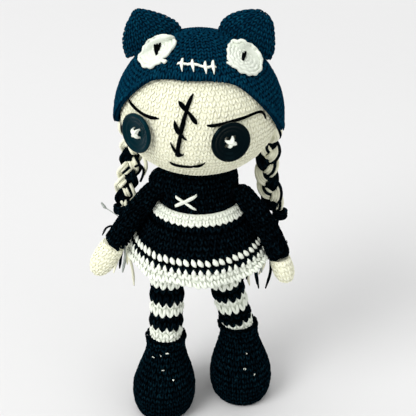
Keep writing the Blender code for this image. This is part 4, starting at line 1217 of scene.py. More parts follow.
# Legs and boots. Stripes: a place aside on the picture, and where each stripe ends, from the lowest up
LEFT_STRIPES = (166.0, (329.0, 315.6, 303.6, 287.8, 277.0))
RIGHT_STRIPES = (228.0, (321.0, 309.0, 297.8, 286.0, 277.0))


def make_leg(sign):
    word = side_word(sign)
    hip = joint_place(f"{word}_hip_swing")
    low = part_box(f"{word}_leg")[0]
    foot = middle_between(f"{word}_leg", -1, low.z + 0.0005)
    spine = straight_spine(hip, foot.lerp(hip, 0.004), (0, 1, 0), 20, LIMB_TILTS)
    shell = Shell(turned_over(cast_rounds(f"{word}_leg", spine, 0.03)))
    levels = shell.grid[:, :, 2].mean(axis=1)
    shares = np.linspace(0, 1, shell.rows)
    tree = surface_tree(f"{word}_leg")
    aside, marks = LEFT_STRIPES if sign < 0 else RIGHT_STRIPES
    edges = [0.0]
    for down in marks:
        spot, _ = seen_node(tree, aside, down)
        edges.append(float(np.interp(spot[2], levels, shares)))
    edges.append(1.0)
    weaving = Weaving()
    lay_skin(weaving, shell, 0.0004, slot_of=lambda share: sum(share > edge for edge in edges[1:-1]) % 2 ^ 1)
    for index, (low_edge, high_edge) in enumerate(zip(edges, edges[1:])):
        slot = index % 2 ^ 1
        rows = max(2, round((high_edge - low_edge) * shell.length / 0.0045))
        tall = (high_edge - low_edge) / rows
        for row in range(rows):
            crochet(
                weaving, shell, slot=slot, row_height=1.0, stitch_width=0.0045,
                plump=0.0010 if row else 0.0012, seed=40 + sign + index * 5 + row, first=low_edge + tall * row,
                last=low_edge + tall * (row + 1), template=VEE if row or not index else LONG_VEE,
                lift=0.0 if row or not index else 0.0003)
    finish_piece(
        weaving, f"{word}_leg_cover", ["black", "white"], f"{word}_leg", [f"{word}_leg"])


# Boots: heights of the sole and the ankle, and the tilts of the rounds from the sole's middle to the side
SOLE_TOP = 0.0003
ANKLE_LEVEL = 0.0397
LEAST_CLEARANCE = 0.0001
SOLE_TILTS = (-88, -78, -68, -60, -52, -46, -40, -34, -28, -20, -10)


def make_boot(sign):
    word = side_word(sign)
    node = f"{word}_boot"
    sole = middle_between(node, -1, SOLE_TOP)
    ankle = middle_between(node, ANKLE_LEVEL, 1)
    start = sole + UP * 0.014
    spine = [(start, UP, BACK, radians(tilt)) for tilt in SOLE_TILTS]
    for share in np.linspace(0, 1, 18):
        level = start.z + (ankle.z - 0.0002 - start.z) * share
        lean = min(1.0, share * 1.25)
        centre = Vector((sole.x + (ankle.x - sole.x) * lean, sole.y + (ankle.y - sole.y) * lean, level))
        spine.append((centre, UP, BACK, 0.0))
    shell = Shell(cast_rounds(node, spine, 0.045))
    weaving = Weaving()
    lay_skin(weaving, shell, 0.0005)
    crochet(
        weaving, shell, row_height=0.0031, stitch_width=0.0034, plump=0.0008, seed=50 + sign, drift=0.45 * sign,
        template=SMALL_VEE)
    for points in weaving.points:
        points[:, 2] = np.maximum(points[:, 2], LEAST_CLEARANCE)
    finish_piece(weaving, f"{word}_boot_cover", ["boot"], f"{word}_leg", [node])
    make_lint(sign)

    node = f"{word}_boot_cuff"
    low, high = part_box(node)
    bottom = middle_between(node, -1, low.z + 0.0002)
    top = middle_between(node, high.z - 0.0002, 1)
    level = [(bottom.lerp(top, share), UP, BACK, 0.0) for share in np.linspace(0.03, 0.97, 6)]
    shell = Shell(cast_rounds(node, level, 0.03), rows=20)
    lining = Shell(cast_rounds(node, level, 0.03, inside=True), rows=20)
    weaving = Weaving()
    lay_cloth(weaving, shell, lining, 0.0006, 0.0001)
    crochet(weaving, shell, row_height=0.0031, stitch_width=0.0042, plump=0.0008, seed=60 + sign)
    finish_piece(weaving, f"{word}_cuff_cover", ["boot"], f"{word}_leg", [node])


# Lint on the boots: places on the picture, and sizes
LEFT_LINT = (
    (167.7, 353.6, 0.5), (173.2, 380.0, 0.42), (154.0, 357.6, 0.3), (160.5, 356.2, 0.25), (162.6, 371.0, 0.3),
)
RIGHT_LINT = ((246.0, 354.0, 0.32), (245.0, 369.2, 0.4), (254.5, 374.6, 0.32))


def make_lint(sign):
    word = side_word(sign)
    tree = surface_tree(f"{word}_boot")
    random = np.random.default_rng(80 + sign)
    weaving = Weaving()
    for index, (aside, down, size) in enumerate(LEFT_LINT if sign < 0 else RIGHT_LINT):
        spot, normal = seen_node(tree, aside, down, 0.0006)
        path = [spot + random.normal(0, 0.0005 * (1 + size), 3) * (1 - 0.6 * abs(normal)) for _ in range(4)]
        rope(weaving, smooth_path(path, 9), 0.00032 * (0.5 + size), seed=index, sides=6)
    finish_piece(weaving, f"{word}_lint", ["white"], f"{word}_leg", ())


# Cap. Its edge: degrees from the front, and shares of the front's height over the head's widest row
BRIM_TURN = radians(-3)
BRIM_FRONT_RISE = 0.0340
BRIM_SHARES = (
    (0, 1.00), (20, 0.99), (35, 0.93), (45, 0.81), (55, 0.58), (65, 0.30), (75, 0.02), (90, -0.22),
    (110, -0.38), (140, -0.50), (180, -0.56),
)


def brim_rise(azimuth):
    away = abs((azimuth - BRIM_TURN + pi) % (2 * pi) - pi) * 180 / pi
    return BRIM_FRONT_RISE * between(BRIM_SHARES, away)


def cap_point(reach, azimuth, angle):
    spread = cos(angle) if angle > 0 else 1.0
    rise = reach[2] * (sin(angle) if angle > 0 else angle)
    return (
        HEAD_CENTRE[0] + reach[0] * spread * sin(azimuth),
        -reach[1] * spread * cos(azimuth),
        HEAD_LEVEL + rise,
    )


def cap_angle(reach, rise):
    return asin(min(rise / reach[2], 1.0)) if rise > 0 else rise / reach[2]


def make_cap():
    reach = CAP_REACH
    steps = 144
    azimuths = [pi + 2 * pi * i / steps for i in range(steps)]
    lowest = radians(-24)
    shell = Shell([
        [cap_point(reach, azimuth, angle) for azimuth in azimuths]
        for angle in np.linspace(lowest, radians(89.5), 90)])

    def keep(height, turn):
        spot, _ = shell.read(np.array([height]), np.array([turn]))
        x, y, z = spot[0]
        azimuth = atan2(x - HEAD_CENTRE[0], -y)
        return z - HEAD_LEVEL > brim_rise(azimuth) + 0.0030

    weaving = Weaving()
    crochet(weaving, shell, keep=keep, seed=70, **CAP_STITCHES)

    skins = []
    for inset in (0.0006, 0.0023):
        inner = reach - inset
        rings = []
        for share in np.linspace(0, 1, 60):
            ring = []
            for azimuth in azimuths:
                edge = cap_angle(inner, brim_rise(azimuth))
                ring.append(cap_point(inner, azimuth, edge + (radians(89.8) - edge) * share))
            rings.append(ring)
        skins.append(np.array(rings))
    add_looped(weaving, np.concatenate([skins[0], skins[1][::-1]]))

    edge = []
    for share in np.linspace(0, 1, 8):
        ring = []
        for azimuth in azimuths:
            start = cap_angle(reach, brim_rise(azimuth))
            ring.append(cap_point(reach, azimuth, start + share * 0.0042 / reach[0] + 0.002))
        edge.append(ring)
    brim = Shell(turned_over(edge), rows=16)
    crochet(
        weaving, brim, row_height=0.0040, stitch_width=0.0033, plump=0.0008, seed=71, lift=0.0001,
        template=SMALL_VEE)
    finish_piece(weaving, "cap_cover", ["cap"], "cap", ["cap"])


EAR_BACK = 0.0065
EAR_HALF_DEPTH = 0.0052
LEFT_EAR = (
    (130.6, 66.0), (127.2, 58.4), (124.6, 51.6), (123.0, 45.0), (123.2, 37.0), (125.8, 26.0), (129.6, 18.6),
    (132.8, 12.2), (135.0, 9.8), (140.0, 9.6), (148.0, 10.8), (156.6, 12.9), (164.0, 15.4), (170.4, 18.4),
    (177.4, 22.8), (180.6, 28.0), (183.0, 36.0),
)
RIGHT_EAR = (
    (216.6, 37.0), (219.0, 28.4), (222.4, 21.0), (229.6, 15.2), (238.3, 11.8), (247.0, 10.3), (256.6, 10.3),
    (263.0, 12.3), (268.8, 16.8), (272.4, 22.4), (274.2, 33.0), (274.6, 46.0), (272.8, 55.0), (269.0, 61.0),
    (265.0, 67.0),
)


def make_ear(sign):
    """An ear as rounds across its outline, from inside the cap's skin to its tip."""
    word = side_word(sign)
    lean = radians(30) * sign
    up = np.array((sin(lean), 0.0, cos(lean)))
    across = np.array((cos(lean), 0.0, -sin(lean)))
    root = np.array((BODY_ASIDE, EAR_BACK, HEAD_LEVEL))
    marks = smooth_path(LEFT_EAR if sign < 0 else RIGHT_EAR, 240)
    spots = np.array([seen_depth(*mark, EAR_BACK) for mark in marks]) - root
    outline = np.stack([spots @ across, spots @ up], -1)
    outline = np.vstack([outline, outline[:1]])
    bottom = CAP_REACH[0] - 0.0014
    top = outline[:, 1].max() - 0.00015
    rounds = []
    for share in np.linspace(0, 1, 60):
        level = bottom + (top - bottom) * (1 - (1 - share) ** 1.35)
        meets = []
        for (u0, v0), (u1, v1) in zip(outline, outline[1:]):
            if (v0 - level) * (v1 - level) < 0:
                meets.append(u0 + (u1 - u0) * (level - v0) / (v1 - v0))
        if len(meets) < 2:
            continue
        low, high = min(meets), max(meets)
        tall = (level - bottom) / (top - bottom)
        half_depth = EAR_HALF_DEPTH * (1 - 0.35 * tall) * min(1.0, (high - low) / 0.009) ** 0.5
        turns = 2 * pi * np.arange(96) / 96
        ring = root + up * level + across * (low + high) / 2
        ring = ring - np.outer(np.sin(turns), across * (high - low) / 2)
        ring = ring + np.outer(np.cos(turns), (0, half_depth, 0))
        rounds.append(ring)
    rounds = np.array(rounds)
    seat = CAP_REACH - 0.0004
    for row in range(10):
        unit = (rounds[row] - HEAD_CENTRE) / seat
        size = np.maximum(np.linalg.norm(unit, axis=1, keepdims=True), 1e-9)
        snug = HEAD_CENTRE + unit / size * seat
        inside = np.clip(1.0 - (size - 1.0) * 30, 0, 1) * (1 - row / 10)
        rounds[row] = rounds[row] * (1 - inside) + snug * inside
    shell = Shell(rounds, rows=90)
    weaving = Weaving()
    lay_skin(weaving, shell, 0.0004)
    crochet(weaving, shell, seed=90 + sign, **CAP_STITCHES)
    finish_piece(weaving, f"{word}_ear_cover", ["cap"], "cap", [f"{word}_cap_ear"])


LEFT_PATCH = (
    (138.5, 58.5), (139.8, 62.6), (143.5, 67.0), (148.0, 68.2), (153.1, 66.6), (158.5, 63.4), (163.1, 58.8),
    (167.6, 54.6), (171.3, 50.0), (174.8, 45.4), (175.8, 41.6), (174.4, 37.8), (171.0, 35.9), (164.9, 34.9),
    (158.5, 35.6), (153.1, 37.6), (148.5, 40.2), (145.4, 44.0), (143.3, 49.2), (140.4, 54.0),
)
RIGHT_PATCH = (
    (227.8, 48.0), (227.4, 55.8), (230.0, 62.4), (235.0, 67.6), (242.3, 72.4), (249.0, 74.6), (254.6, 74.8),
    (259.4, 72.2), (262.0, 65.8), (261.4, 56.6), (256.6, 49.0), (250.2, 43.6), (242.6, 40.4), (234.0, 39.8),
    (230.0, 42.6),
)
LEFT_PUPIL = (
    ((154.6, 42.8, 0.5), (155.2, 48.0, 0.85), (156.0, 55.6, 0.4)),
    ((157.2, 42.2, 0.5), (157.0, 49.0, 0.85), (156.3, 55.0, 0.4)),
    ((160.4, 42.2, 0.5), (159.0, 47.0, 0.80), (157.0, 53.0, 0.35)),
)
RIGHT_PUPIL = (
    ((245.8, 50.6, 0.4), (245.0, 54.6, 0.80), (243.2, 61.0, 0.4)),
    ((243.4, 52.0, 0.4), (243.0, 56.0, 0.75), (242.8, 60.6, 0.4)),
)


# A patch from its edge to its middle: shares of its outline, and lifts over the cap
PATCH_RISE = ((1.0, 0.0), (0.97, 0.0012), (0.75, 0.0018), (0.5, 0.0019), (0.25, 0.0019), (0.02, 0.0019))


def near_most(table, combine, rows=1, columns=3):
    """Each value becomes the greatest or the mean of those around it; the columns run round."""
    table = combine([np.roll(table, step, 1) for step in range(-columns, columns + 1)], axis=0)
    for _ in range(rows):
        table = combine([table, np.vstack([table[1:], table[-1:]]), np.vstack([table[:1], table[:-1]])], axis=0)
    return table


def ear_before(tree, marks):
    """How far an ear stands before the cap at each mark."""
    gains = []
    for mark in marks:
        origin, way = sight(*mark)
        way /= np.linalg.norm(way)
        distance = tree.ray_cast(Vector(origin), Vector(way), 2.0)[3]
        far = np.linalg.norm(seen_on(CAP_REACH, *mark)[0] - origin)
        gains.append(0.0 if distance is None else max(far - distance + 0.0004, 0.0))
    return gains


def make_patch(sign):
    """An oval of yarn rounds, sewn on the cap, with the pupil's stitches over it."""
    word = side_word(sign)
    outline = np.array(LEFT_PATCH if sign < 0 else RIGHT_PATCH)
    middle = outline.mean(axis=0)
    weaving = Weaving()
    count = 72
    closed = np.vstack([outline, outline[:3]])
    loop = smooth_path(closed, 400)
    span = 400 * (len(outline)) // (len(closed) - 1)
    loop = loop[:span][np.linspace(0, span - 1, count, endpoint=False).astype(int)]
    spots = []
    tree = surface_tree(f"{word}_cap_ear")
    shares = np.linspace(0.02, 1.0, 10)
    gains = np.array([ear_before(tree, middle + (loop - middle) * share) for share in shares])
    gains = near_most(near_most(gains, np.max), np.mean, 2)

    def ring_at(share, lift):
        """Places round the patch, brought forward where an ear would hide them."""
        share = np.broadcast_to(share, (count,))
        ring = []
        for k, mark in enumerate(loop):
            aside, down = middle + (mark - middle) * share[k]
            way = sight(aside, down)[1]
            gain = np.interp(share[k], shares, gains[:, k])
            ring.append(seen_on(CAP_REACH, aside, down, lift)[0] - way / np.linalg.norm(way) * gain)
        return np.array(ring)

    for share, lift in PATCH_RISE:
        spots.append(ring_at(share, lift))
    bottom = [seen_on(CAP_REACH, *(middle + (mark - middle) * 0.02), 0.0)[0] for mark in loop]
    rounds = np.array([bottom] + spots)
    normal = seen_on(CAP_REACH, *middle)[1]
    area = np.cross(rounds[1][10] - rounds[1][0], rounds[1][40] - rounds[1][0])
    weaving.add(rounds, (grid_faces(len(rounds), count, flipped=area @ normal < 0),))
    random = np.random.default_rng(95 + sign)
    for index, share in enumerate((0.93, 0.74, 0.55, 0.36, 0.17)):
        step = np.arange(count)
        wobble = share * (1 + 0.035 * np.sin(step * 1.1 + index * 2)) + random.normal(0, 0.012, count)
        path = ring_at(wobble, 0.0012) + np.outer(0.00025 * np.sin(step * 0.9 + index * 2), normal)
        rope(weaving, np.concatenate([path, path[:4]]), 0.00105, seed=index, out=normal)
    nub = (163.8, 61.4) if sign < 0 else (230.6, 63.6)
    for index in range(3):
        shifts = ((-2.5 + index, -1.5), (0.5, 1.2 - index), (1.8, -0.8))
        marks = [(nub[0] + aside, nub[1] + down, 0.75) for aside, down in shifts]
        sew(weaving, marks, partial(seen_on, CAP_REACH), 0.0012, steps=9, seed=index, sink=0.0006)
    finish_piece(weaving, f"{word}_patch_yarn", ["patch"], "cap", [f"{word}_cap_eye"])

    weaving = Weaving()
    for index, marks in enumerate(LEFT_PUPIL if sign < 0 else RIGHT_PUPIL):
        sew(weaving, marks, partial(seen_on, CAP_REACH), 0.0026, steps=13, seed=index, sink=0.0010)
    finish_piece(weaving, f"{word}_pupil_yarn", ["thread"], "cap", [f"{word}_cap_pupil"])


CAP_MOUTH = (
    ((176.8, 63.4, 0.30), (180.0, 63.2, 0.85), (184.0, 63.8, 0.75), (188.0, 63.9, 0.65)),
    ((186.6, 64.0, 0.60), (191.0, 64.0, 0.80), (196.0, 64.6, 0.80), (200.4, 65.2, 0.60)),
    ((199.0, 65.0, 0.60), (203.0, 66.6, 0.70), (207.0, 67.4, 0.80), (210.6, 66.8, 0.60)),
    ((209.4, 66.8, 0.60), (213.0, 66.2, 0.80), (216.4, 67.2, 0.35)),
    ((182.8, 57.2, 0.30), (182.0, 61.0, 0.85), (181.6, 65.0, 0.90), (181.8, 70.4, 0.25)),
    ((192.4, 58.4, 0.30), (192.2, 62.0, 0.80), (192.8, 66.0, 0.90), (193.6, 70.8, 0.25)),
    ((205.4, 60.2, 0.30), (205.0, 64.0, 0.80), (205.6, 68.4, 0.90), (206.4, 73.0, 0.25)),
    ((213.4, 59.4, 0.30), (212.8, 63.0, 0.85), (213.4, 68.0, 0.90), (214.4, 73.2, 0.25)),
)


def make_cap_mouth():
    weaving = Weaving()
    for index, marks in enumerate(CAP_MOUTH):
        lift = 0.0008 if index < 4 else 0.0013
        sew(weaving, marks, partial(seen_on, CAP_REACH), lift, steps=15, seed=index, sink=0.0010)
    finish_piece(weaving, "cap_mouth_yarn", ["white"], "cap", ["cap_mouth"])


# Plaits
STRAND_SLOTS = ((0, 0, 0, 1), (1, 1, 1, 1), (0, 0, 1, 0))

# Loose yarns: a material, and places on the picture with the distance behind the doll's middle
LEFT_TAIL = (
    (0, ((119, 222, 0.017), (123, 240, 0.014), (119, 254, 0.012), (113.6, 272.5, 0.010))),
    (1, ((120, 222, 0.018), (123, 242, 0.015), (121, 256, 0.013), (119.6, 268.0, 0.011))),
    (2, ((121, 222, 0.019), (125, 244, 0.016), (125, 258, 0.013), (122.6, 272.0, 0.011))),
    (0, ((119, 222, 0.020), (125, 240, 0.017), (129, 256, 0.014), (132.6, 270.0, 0.012), (134.0, 285.0, 0.011))),
    (0, ((121, 222, 0.020), (123, 240, 0.018), (126, 252, 0.015), (127.4, 264.0, 0.013))),
    (2, ((119, 222, 0.018), (121, 236, 0.015), (117, 248, 0.013), (115.6, 262.0, 0.011))),
    (1, ((119, 222, 0.018), (116, 227, 0.0155), (111, 226, 0.0140), (106.0, 228.4, 0.0130),
         (102.4, 235.0, 0.0125))),
    (1, ((119, 223, 0.018), (115, 231, 0.0160), (109.6, 233.0, 0.0145), (106.4, 235.4, 0.0140))),
)
RIGHT_TAIL = (
    (1, ((276, 214, 0.017), (262, 236, 0.015), (250, 256, 0.012), (244.6, 270.0, 0.010), (242.6, 281.0, 0.009))),
    (1, ((276, 214, 0.018), (264, 236, 0.016), (252, 258, 0.013), (248.0, 270.0, 0.011), (246.4, 279.0, 0.010))),
    (1, ((277, 214, 0.018), (266, 238, 0.016), (257, 256, 0.013), (256.4, 272.0, 0.011), (258.6, 288.0, 0.010))),
    (1, ((277, 214, 0.019), (268, 238, 0.017), (258, 256, 0.014), (255.6, 270.0, 0.012), (257.0, 284.0, 0.011))),
    (2, ((278, 214, 0.019), (270, 238, 0.017), (262, 256, 0.014), (260.4, 264.0, 0.012), (261.6, 272.0, 0.011))),
    (0, ((278, 214, 0.020), (272, 238, 0.018), (266, 256, 0.015), (263.4, 266.0, 0.013), (259.0, 274.0, 0.012))),
    (1, ((279, 214, 0.020), (274, 238, 0.018), (271, 256, 0.014), (270.4, 272.0, 0.011), (265.6, 288.0, 0.009))),
    (0, ((277, 214, 0.020), (266, 240, 0.018), (254, 262, 0.015), (248.4, 276.0, 0.013), (249.6, 285.0, 0.012))),
)

# One grey yarn that stands off the left plait's tie, and its radii at shares of its length
WISP = (
    (119.0, 217.0, 0.016), (116.0, 214.6, 0.017), (109.0, 210.0, 0.019), (105.0, 207.4, 0.020),
    (101.8, 203.2, 0.021),
)
WISP_RADII = ((0, 0.6, 0.8, 1), (0.0003, 0.0003, 0.0010, 0.0007))


def plait_line(word):
    line = centre_line(f"{word}_plait", 9)
    line[0] = line[0] * 0.5 + line[1] * 0.5
    return smooth_path(line, 80)


def make_plait(sign):
    word = side_word(sign)
    line = plait_line(word)
    along = np.concatenate([[0], np.cumsum(np.linalg.norm(np.diff(line, axis=0), axis=1))])
    total = along[-1]
    radius = yarn_settings().yarn_radius
    random = np.random.default_rng(yarn_settings().seed + sign)
    weaving = Weaving()
    count = 90
    places = np.linspace(0, total, count)
    centre = np.stack([np.interp(places, along, line[:, k]) for k in range(3)], -1)
    ahead = np.gradient(centre, axis=0)
    ahead /= np.linalg.norm(ahead, axis=1, keepdims=True)
    across = np.cross(ahead, (0, 1, 0))
    across /= np.linalg.norm(across, axis=1, keepdims=True)
    deep = np.cross(across, ahead)
    squeeze = np.clip(np.minimum(places, total - places) / (total * 0.16), 0, 1) ** 0.7
    for strand in range(3):
        phase = 2 * pi * (places / 0.0290 * sign + strand / 3)
        side = 0.0039 * np.sin(phase) * (0.35 + 0.65 * squeeze)
        front = 0.0023 * np.sin(2 * phase) * (0.4 + 0.6 * squeeze)
        spine = centre + across * side[:, None] + deep * front[:, None]
        way = np.gradient(spine, axis=0)
        way /= np.linalg.norm(way, axis=1, keepdims=True)
        aside = np.cross(way, deep)
        aside /= np.linalg.norm(aside, axis=1, keepdims=True)
        for yarn in range(4):
            offset = (yarn - 1.5) * radius * 1.35 * (0.5 + 0.5 * squeeze)
            bump = radius * 0.35 * ((yarn % 2) - 0.5) + 0.0002 * np.sin(places * 400 + yarn * 2)
            path = spine + aside * offset[:, None] + deep * bump[:, None]
            slot = STRAND_SLOTS[strand][yarn]
            rope(weaving, path, radius * random.uniform(0.92, 1.1), slot, seed=strand * 4 + yarn, out=(0, 1, 0))
    core = centre[3:-3]
    rope(weaving, core, 0.0022, 1, sides=10)
    finish_piece(
        weaving, f"{word}_plait_yarns", ["cream", "black"], f"{word}_plait", [f"{word}_plait"])

    weaving = Weaving()
    end = line[-1]
    low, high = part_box(f"{word}_plait_tie")
    middle = np.array((low + high) / 2)
    for index in range(3):
        turn = np.linspace(0, 2 * pi * 1.04, 33) + index
        path = np.stack([
            middle[0] + 0.0038 * np.cos(turn), middle[1] + 0.0036 * np.sin(turn),
            middle[2] + (index - 1) * 0.0016 + 0.0004 * np.sin(turn + index)], -1)
        rope(weaving, path, 0.0010, seed=index, out=(0, 0, 1))
    finish_piece(weaving, f"{word}_plait_wrap", ["black"], f"{word}_plait", [f"{word}_plait_tie"])

    weaving = Weaving()
    for index, (slot, marks) in enumerate(LEFT_TAIL if sign < 0 else RIGHT_TAIL):
        path = [seen_depth(*mark) for mark in marks]
        turn = index * 2.1
        path[0] = np.array((end[0] + 0.0016 * cos(turn), end[1] + 0.0016 * sin(turn), middle[2]))
        thick = radius * (0.62 if index > 5 and sign < 0 else 0.80)
        thin = np.concatenate([np.full(34, thick), np.linspace(thick, thick * 0.5, 6)])
        rope(weaving, smooth_path(path, 40), thin, slot, seed=index + 20)
    if sign < 0:
        wisp = smooth_path([seen_depth(*mark) for mark in WISP], 30)
        rope(weaving, wisp, np.interp(np.linspace(0, 1, 30), *WISP_RADII), 2)
    finish_piece(
        weaving, f"{word}_tail_yarns", ["cream", "black", "grey"], f"{word}_plait", [f"{word}_plait_tail"])


def seen_depth(aside, down, back):
    """The place seen at a place on the picture, at a distance behind the doll's middle."""
    origin, way = sight(aside, down)
    return origin + way * (back - origin[1]) / way[1]


# The middle of a hair lock: its distance aside, to the back, over the head's widest row, and its half width
LOCK_PATH = (
    (0.0430, 0.0030, -0.0040, 0.0030),
    (0.0448, 0.0050, -0.0105, 0.0035),
    (0.0450, 0.0095, -0.0165, 0.0032),
)

# The slots of a lock's yarns; the last one runs in the middle of the others
LOCK_SLOTS = (0, 0, 1, 0, 0, 0, 1, 0, 0)

# Loose bits beside the left plait's top, as in the tails
LEFT_WISPS = (
    (0, 1.0, ((142.6, 153.0, 0.0110), (145.0, 160.0, 0.0100), (146.0, 167.0, 0.0090), (143.6, 174.0, 0.0090))),
    (1, 0.7, ((135.6, 166.4, 0.0100), (139.8, 165.0, 0.0080), (143.4, 169.6, 0.0075), (142.8, 175.6, 0.0080),
              (140.6, 181.0, 0.0100))),
)


def make_hair_lock(sign):
    """Yarns that leave the cap's edge and run down to the plait."""
    word = side_word(sign)
    top = plait_line(word)[6]
    weaving = Weaving()
    radius = yarn_settings().yarn_radius
    for index, slot in enumerate(LOCK_SLOTS):
        turn = 2 * pi * index / 8 + 0.4
        away = 0.0 if index == 8 else 1.0
        path = []
        for step, (reach, back, rise, wide) in enumerate(LOCK_PATH):
            twist = turn + step * 0.35 * sign
            path.append((
                BODY_ASIDE + sign * (reach + away * wide * 0.55 * cos(twist)),
                back + away * wide * sin(twist), HEAD_LEVEL + rise))
        twist = turn + 1.4 * sign
        path.append((
            top[0] + away * 0.0019 * cos(twist) * sign, top[1] + away * 0.0024 * sin(twist), top[2]))
        rope(weaving, smooth_path(path, 26), radius * 1.05, slot, seed=60 + index, out=(sign, 0, 0))
    if sign < 0:
        for index, (slot, size, marks) in enumerate(LEFT_WISPS):
            path = smooth_path([seen_depth(*mark) for mark in marks], 24)
            rope(weaving, path, radius * size, slot, seed=70 + index)
    made = weaving.make(f"{word}_lock_yarns", ["cream", "black"])
    tuple(top)
    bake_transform(made)
    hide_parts(f"{word}_hair_lock")


# Lamps: place, size and power
LAMPS = (
    ("key", (-2.6, -2.6, 3.0), 2.8, 145.0),
    ("fill", (3.2, -2.4, 2.0), 2.4, 8.0),
    ("top", (-0.4, 0.2, 4.4), 2.8, 40.0),
)
FLOOR_SIZE = 40.0


def make_stage():
    stage = bpy.context.scene.doll_stage
    scene = bpy.context.scene
    floor = bpy.data.meshes.new("floor")
    corners = [(x * FLOOR_SIZE, y * FLOOR_SIZE, 0) for x, y in ((-1, -1), (1, -1), (1, 1), (-1, 1))]
    floor.from_pydata(corners, [], [(0, 1, 2, 3)])
    floor.materials.append(floor_material("floor", list(stage.floor_colour)))
    ground = bpy.data.objects.new("floor", floor)
    scene.collection.objects.link(ground)

    world = bpy.data.worlds.new("studio")
    scene.world = world
    graph = Graph(world, "Background")
    shown, glossy, through = (
        graph.node("ShaderNodeLightPath", output=f"Is {ray} Ray")
        for ray in ("Camera", "Glossy", "Transmission"))
    shown = shown.function("MAXIMUM", glossy).function("MAXIMUM", through)
    strength = graph.node("ShaderNodeMapRange", {"Value": shown, "To Min": WORLD_LIGHT, "To Max": BACKDROP})
    graph.feed(Color=(1.0, 1.0, 1.0), Strength=strength)

    for name, place, size, power in LAMPS:
        data = bpy.data.lights.new(name, "AREA")
        data.shape = "DISK"
        data.size = size
        data.energy = power
        lamp = bpy.data.objects.new(name, data)
        lamp.location = place
        way = Vector((BODY_ASIDE, 0, 0.14)) - Vector(place)
        lamp.rotation_euler = way.to_track_quat("-Z", "Y").to_euler()
        scene.collection.objects.link(lamp)

    data = bpy.data.cameras.new("camera")
    data.lens = stage.lens_share * data.sensor_width
    data.shift_x = (PICTURE / 2 - PICTURE_MIDDLE[0]) / PICTURE
    data.shift_y = (PICTURE_MIDDLE[1] - PICTURE / 2) / PICTURE
    camera = bpy.data.objects.new("camera", data)
    back = Vector(view_back(stage))
    target = Vector((BODY_ASIDE, 0, stage.target_level))
    camera.location = target + back * stage.distance
    camera.rotation_euler = (-back).to_track_quat("-Z", "Y").to_euler()
    scene.collection.objects.link(camera)
    scene.camera = camera
    scene.view_settings.view_transform = "Standard"


class DOLL_OT_head(Operator):
    """Crochets the head's cover and its fill."""

    bl_idname = "doll.head"
    bl_label = "Head"

    def execute(self, context):
        make_head()
        return {"FINISHED"}


class DOLL_OT_face(Operator):
    """Embroiders brows, mouth and forehead."""

    bl_idname = "doll.face"
    bl_label = "Face"

    def execute(self, context):
        make_face()
        return {"FINISHED"}


class DOLL_OT_buttons(Operator):
    """Turns the button eyes and sews them on."""

    bl_idname = "doll.buttons"
    bl_label = "Buttons"

    def execute(self, context):
        for sign in SIDES:
            make_button(sign)
        return {"FINISHED"}


class DOLL_OT_torso(Operator):
    """Crochets the torso's cover and sews its cross."""

    bl_idname = "doll.torso"
    bl_label = "Torso"

    def execute(self, context):
        make_torso()
        return {"FINISHED"}


class DOLL_OT_waist_band(Operator):
    """Crochets the waist band."""

    bl_idname = "doll.waist_band"
    bl_label = "Waist band"

    def execute(self, context):
        make_waist_band()
        return {"FINISHED"}


class DOLL_OT_skirt(Operator):
    """Crochets the skirt and its frill."""

    bl_idname = "doll.skirt"
    bl_label = "Skirt"

    def execute(self, context):
        make_skirt()
        return {"FINISHED"}


class DOLL_OT_arms(Operator):
    """Crochets sleeves and hands."""

    bl_idname = "doll.arms"
    bl_label = "Arms"

    def execute(self, context):
        for sign in SIDES:
            make_arm(sign)
        return {"FINISHED"}


class DOLL_OT_legs(Operator):
    """Crochets the striped legs."""

    bl_idname = "doll.legs"
    bl_label = "Legs"

    def execute(self, context):
        for sign in SIDES:
            make_leg(sign)
        return {"FINISHED"}


class DOLL_OT_boots(Operator):
    """Crochets boots and cuffs."""

    bl_idname = "doll.boots"
    bl_label = "Boots"

    def execute(self, context):
        for sign in SIDES:
            make_boot(sign)
        return {"FINISHED"}


class DOLL_OT_cap(Operator):
    """Crochets the cap."""

    bl_idname = "doll.cap"
    bl_label = "Cap"

    def execute(self, context):
        make_cap()
        return {"FINISHED"}


class DOLL_OT_ears(Operator):
    """Crochets the cap's ears."""

    bl_idname = "doll.ears"
    bl_label = "Ears"

    def execute(self, context):
        for sign in SIDES:
            make_ear(sign)
        return {"FINISHED"}


class DOLL_OT_patches(Operator):
    """Makes the cap's white eyes and their pupils."""

    bl_idname = "doll.patches"
    bl_label = "Patches"

    def execute(self, context):
        for sign in SIDES:
            make_patch(sign)
        return {"FINISHED"}


class DOLL_OT_cap_mouth(Operator):
    """Sews the cap's mouth."""

    bl_idname = "doll.cap_mouth"
    bl_label = "Cap mouth"

    def execute(self, context):
        make_cap_mouth()
        return {"FINISHED"}


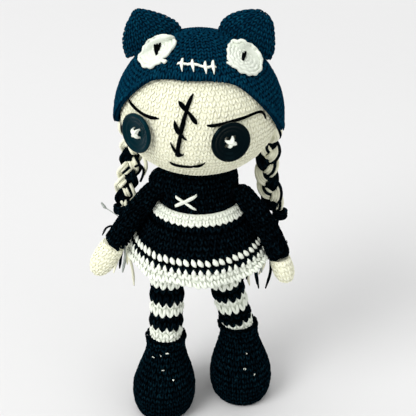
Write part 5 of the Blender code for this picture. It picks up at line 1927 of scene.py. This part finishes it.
class DOLL_OT_plaits(Operator):
    """Plaits the hair and leaves its tails loose."""

    bl_idname = "doll.plaits"
    bl_label = "Plaits"

    def execute(self, context):
        for sign in SIDES:
            make_plait(sign)
        return {"FINISHED"}


class DOLL_OT_hair_locks(Operator):
    """Lays the hair from the cap to the plaits."""

    bl_idname = "doll.hair_locks"
    bl_label = "Hair locks"

    def execute(self, context):
        for sign in SIDES:
            make_hair_lock(sign)
        return {"FINISHED"}


class DOLL_OT_stage(Operator):
    """Sets the floor, lights and camera."""

    bl_idname = "doll.stage"
    bl_label = "Stage"

    def execute(self, context):
        make_stage()
        return {"FINISHED"}


OPERATORS = (
    DOLL_OT_head, DOLL_OT_face, DOLL_OT_buttons, DOLL_OT_torso,
    DOLL_OT_waist_band, DOLL_OT_skirt, DOLL_OT_arms, DOLL_OT_legs,
    DOLL_OT_boots, DOLL_OT_cap, DOLL_OT_ears, DOLL_OT_patches,
    DOLL_OT_cap_mouth, DOLL_OT_plaits, DOLL_OT_hair_locks, DOLL_OT_stage,
)


class DOLL_PT_panel(Panel):
    bl_label = "Crocheted doll"
    bl_space_type = "VIEW_3D"
    bl_region_type = "UI"
    bl_category = "Doll"

    def draw(self, context):
        for settings in (context.scene.doll_yarn, context.scene.doll_colours, context.scene.doll_stage):
            for key in settings.bl_rna.properties.keys():
                if key not in ("rna_type", "name"):
                    self.layout.prop(settings, key)
        for made in OPERATORS:
            self.layout.operator(made.bl_idname)


CLASSES = [YarnSettings, ColourSettings, StageSettings, *OPERATORS, DOLL_PT_panel]


def register():
    for made in CLASSES:
        bpy.utils.register_class(made)
    bpy.types.Scene.doll_yarn = PointerProperty(type=YarnSettings)
    bpy.types.Scene.doll_colours = PointerProperty(type=ColourSettings)
    bpy.types.Scene.doll_stage = PointerProperty(type=StageSettings)


def unregister():
    del bpy.types.Scene.doll_stage
    del bpy.types.Scene.doll_colours
    del bpy.types.Scene.doll_yarn
    for made in reversed(CLASSES):
        bpy.utils.unregister_class(made)


def main():
    register()
    for made in OPERATORS:
        group, name = made.bl_idname.split(".")
        getattr(getattr(bpy.ops, group), name)()


if __name__ == "__main__":
    main()
